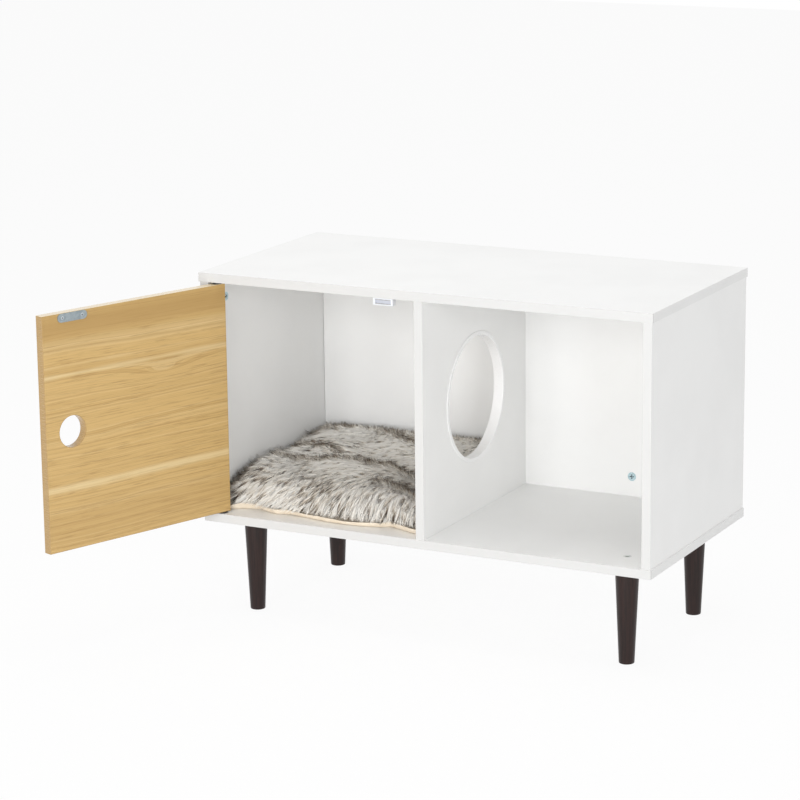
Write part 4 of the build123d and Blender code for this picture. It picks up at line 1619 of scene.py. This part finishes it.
@dataclass(frozen=True)
class Lamp:
    """A soft square lamp: its place, the length of its sides in metres and its power in watts."""

    name: str
    place: tuple[float, float, float]
    size: float
    power: float

    def hang(self, target: tuple[float, float, float]) -> None:
        """Hangs the lamp, pointed at a target."""
        made = bpy.data.lights.new(self.name, "AREA")
        made.shape, made.size, made.energy = "SQUARE", self.size, self.power
        hung = bpy.data.objects.new(self.name, made)
        aim = (Vector(target) - Vector(self.place)).to_track_quat("-Z", "Y")
        hung.matrix_world = Matrix.Translation(self.place) @ aim.to_matrix().to_4x4()
        bpy.context.scene.collection.objects.link(hung)


@dataclass(frozen=True)
class Studio:
    """The floor, the soft lamps and the camera."""

    eye: tuple[float, float, float] = (2.0847, -4.27987, 1.50913)
    yaw: float = 0.4786
    pitch: float = 0.2362
    roll: float = -0.0115
    focal_pixels: float = 2975.83
    frame_pixels: float = 800.0
    sensor: float = 36.0
    clip_end: float = 60
    world_light: float = 0.505
    floor_half: float = 9.0
    floor_white: float = 0.92
    target: tuple[float, float, float] = (0, 0, 0.37)
    lamps: tuple[Lamp, ...] = (
        Lamp("front_lamp", (0.3, -5.0, 1.2), 2.4, 111),
        Lamp("right_lamp", (3.8, -3.6, 1.1), 2.4, 60),
        Lamp("top_lamp", (-0.2, -0.2, 3.0), 1.8, 27),
    )

    def camera(self) -> None:
        """Stands the camera where the photograph was taken from."""
        level = math.cos(self.pitch)
        ahead = Vector((-math.sin(self.yaw) * level, math.cos(self.yaw) * level, -math.sin(self.pitch)))
        right = Vector((math.cos(self.yaw), math.sin(self.yaw), 0))
        up = right.cross(ahead)
        across = math.cos(self.roll) * right + math.sin(self.roll) * up
        upward = -math.sin(self.roll) * right + math.cos(self.roll) * up
        made = bpy.data.cameras.new("camera")
        made.sensor_width = self.sensor
        made.lens = self.focal_pixels / self.frame_pixels * self.sensor
        made.clip_end = self.clip_end
        stand = bpy.data.objects.new("camera", made)
        turn = Matrix((across, upward, -ahead)).transposed().to_4x4()
        stand.matrix_world = Matrix.Translation(self.eye) @ turn
        bpy.context.scene.collection.objects.link(stand)
        bpy.context.scene.camera = stand

    @staticmethod
    def seen_rays(graph: Graph) -> Feed:
        """1 for rays that show the surroundings: the camera's own, mirrored and passed ones."""
        rays = graph.add("ShaderNodeLightPath")
        seen = graph.math("MAXIMUM", rays.outputs["Is Camera Ray"], rays.outputs["Is Glossy Ray"])
        return graph.math("MAXIMUM", seen, rays.outputs["Is Transmission Ray"])

    def surroundings(self) -> None:
        """Makes the white surroundings, which light the object at a plain level."""
        world = bpy.data.worlds.new("surroundings")
        bpy.context.scene.world = world
        world.use_nodes = True
        world.node_tree.nodes.clear()
        graph = Graph(world.node_tree)
        lit = graph.add("ShaderNodeBackground", {"Color": (1, 1, 1, 1), "Strength": self.world_light})
        shown = graph.add("ShaderNodeBackground", {"Color": (1, 1, 1, 1), "Strength": 1.0})
        both = graph.add("ShaderNodeMixShader", {0: self.seen_rays(graph), 1: lit, 2: shown})
        graph.add("ShaderNodeOutputWorld", {"Surface": both})

    def floor(self) -> None:
        """Lays the pale floor, which keeps a faint shadow of the object."""
        side = self.floor_half
        corners = [(-side, -side, 0), (side, -side, 0), (side, side, 0), (-side, side, 0)]
        floor = new_piece("floor", corners, [(0, 1, 2, 3)])
        made = bpy.data.materials.new("pale_floor")
        made.use_nodes = True
        made.node_tree.nodes.clear()
        graph = Graph(made.node_tree)
        matt = graph.add("ShaderNodeBsdfDiffuse", {"Color": paint(250, 250, 250)})
        white = graph.add("ShaderNodeEmission", {"Color": (1, 1, 1, 1), "Strength": 1.0})
        share = graph.math("MULTIPLY", self.seen_rays(graph), self.floor_white)
        both = graph.add("ShaderNodeMixShader", {0: share, 1: matt, 2: white})
        graph.add("ShaderNodeOutputMaterial", {"Surface": both})
        floor.data.materials.append(made)
        floor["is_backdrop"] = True

    def build(self) -> None:
        """Sets up the whole studio."""
        view = bpy.context.scene.view_settings
        view.view_transform = "Standard"
        self.camera()
        self.surroundings()
        self.floor()
        for lamp in self.lamps:
            lamp.hang(self.target)
        log.info("studio: camera, surroundings, floor and %d lamps", len(self.lamps))


def write_sizes() -> None:
    """Logs the CAD box and the visual model's box, in metres."""
    boxes = {"cad": CAD_BOX, "visual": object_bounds()}
    boxes = {name: [list(map(float, corner)) for corner in box] for name, box in boxes.items()}
    log.info("sizes: %s", boxes)


def main() -> None:
    """Builds the studio and every part of the cat house."""
    logging.basicConfig(level=logging.INFO, format="%(message)s")
    for part in (Studio(), Carcass(), RoundLinings(), TurnedLegs(), PlushCushion()):
        log.info("building %s", type(part).__name__)
        part.build()
    write_sizes()


if __name__ == "__main__":
    main()
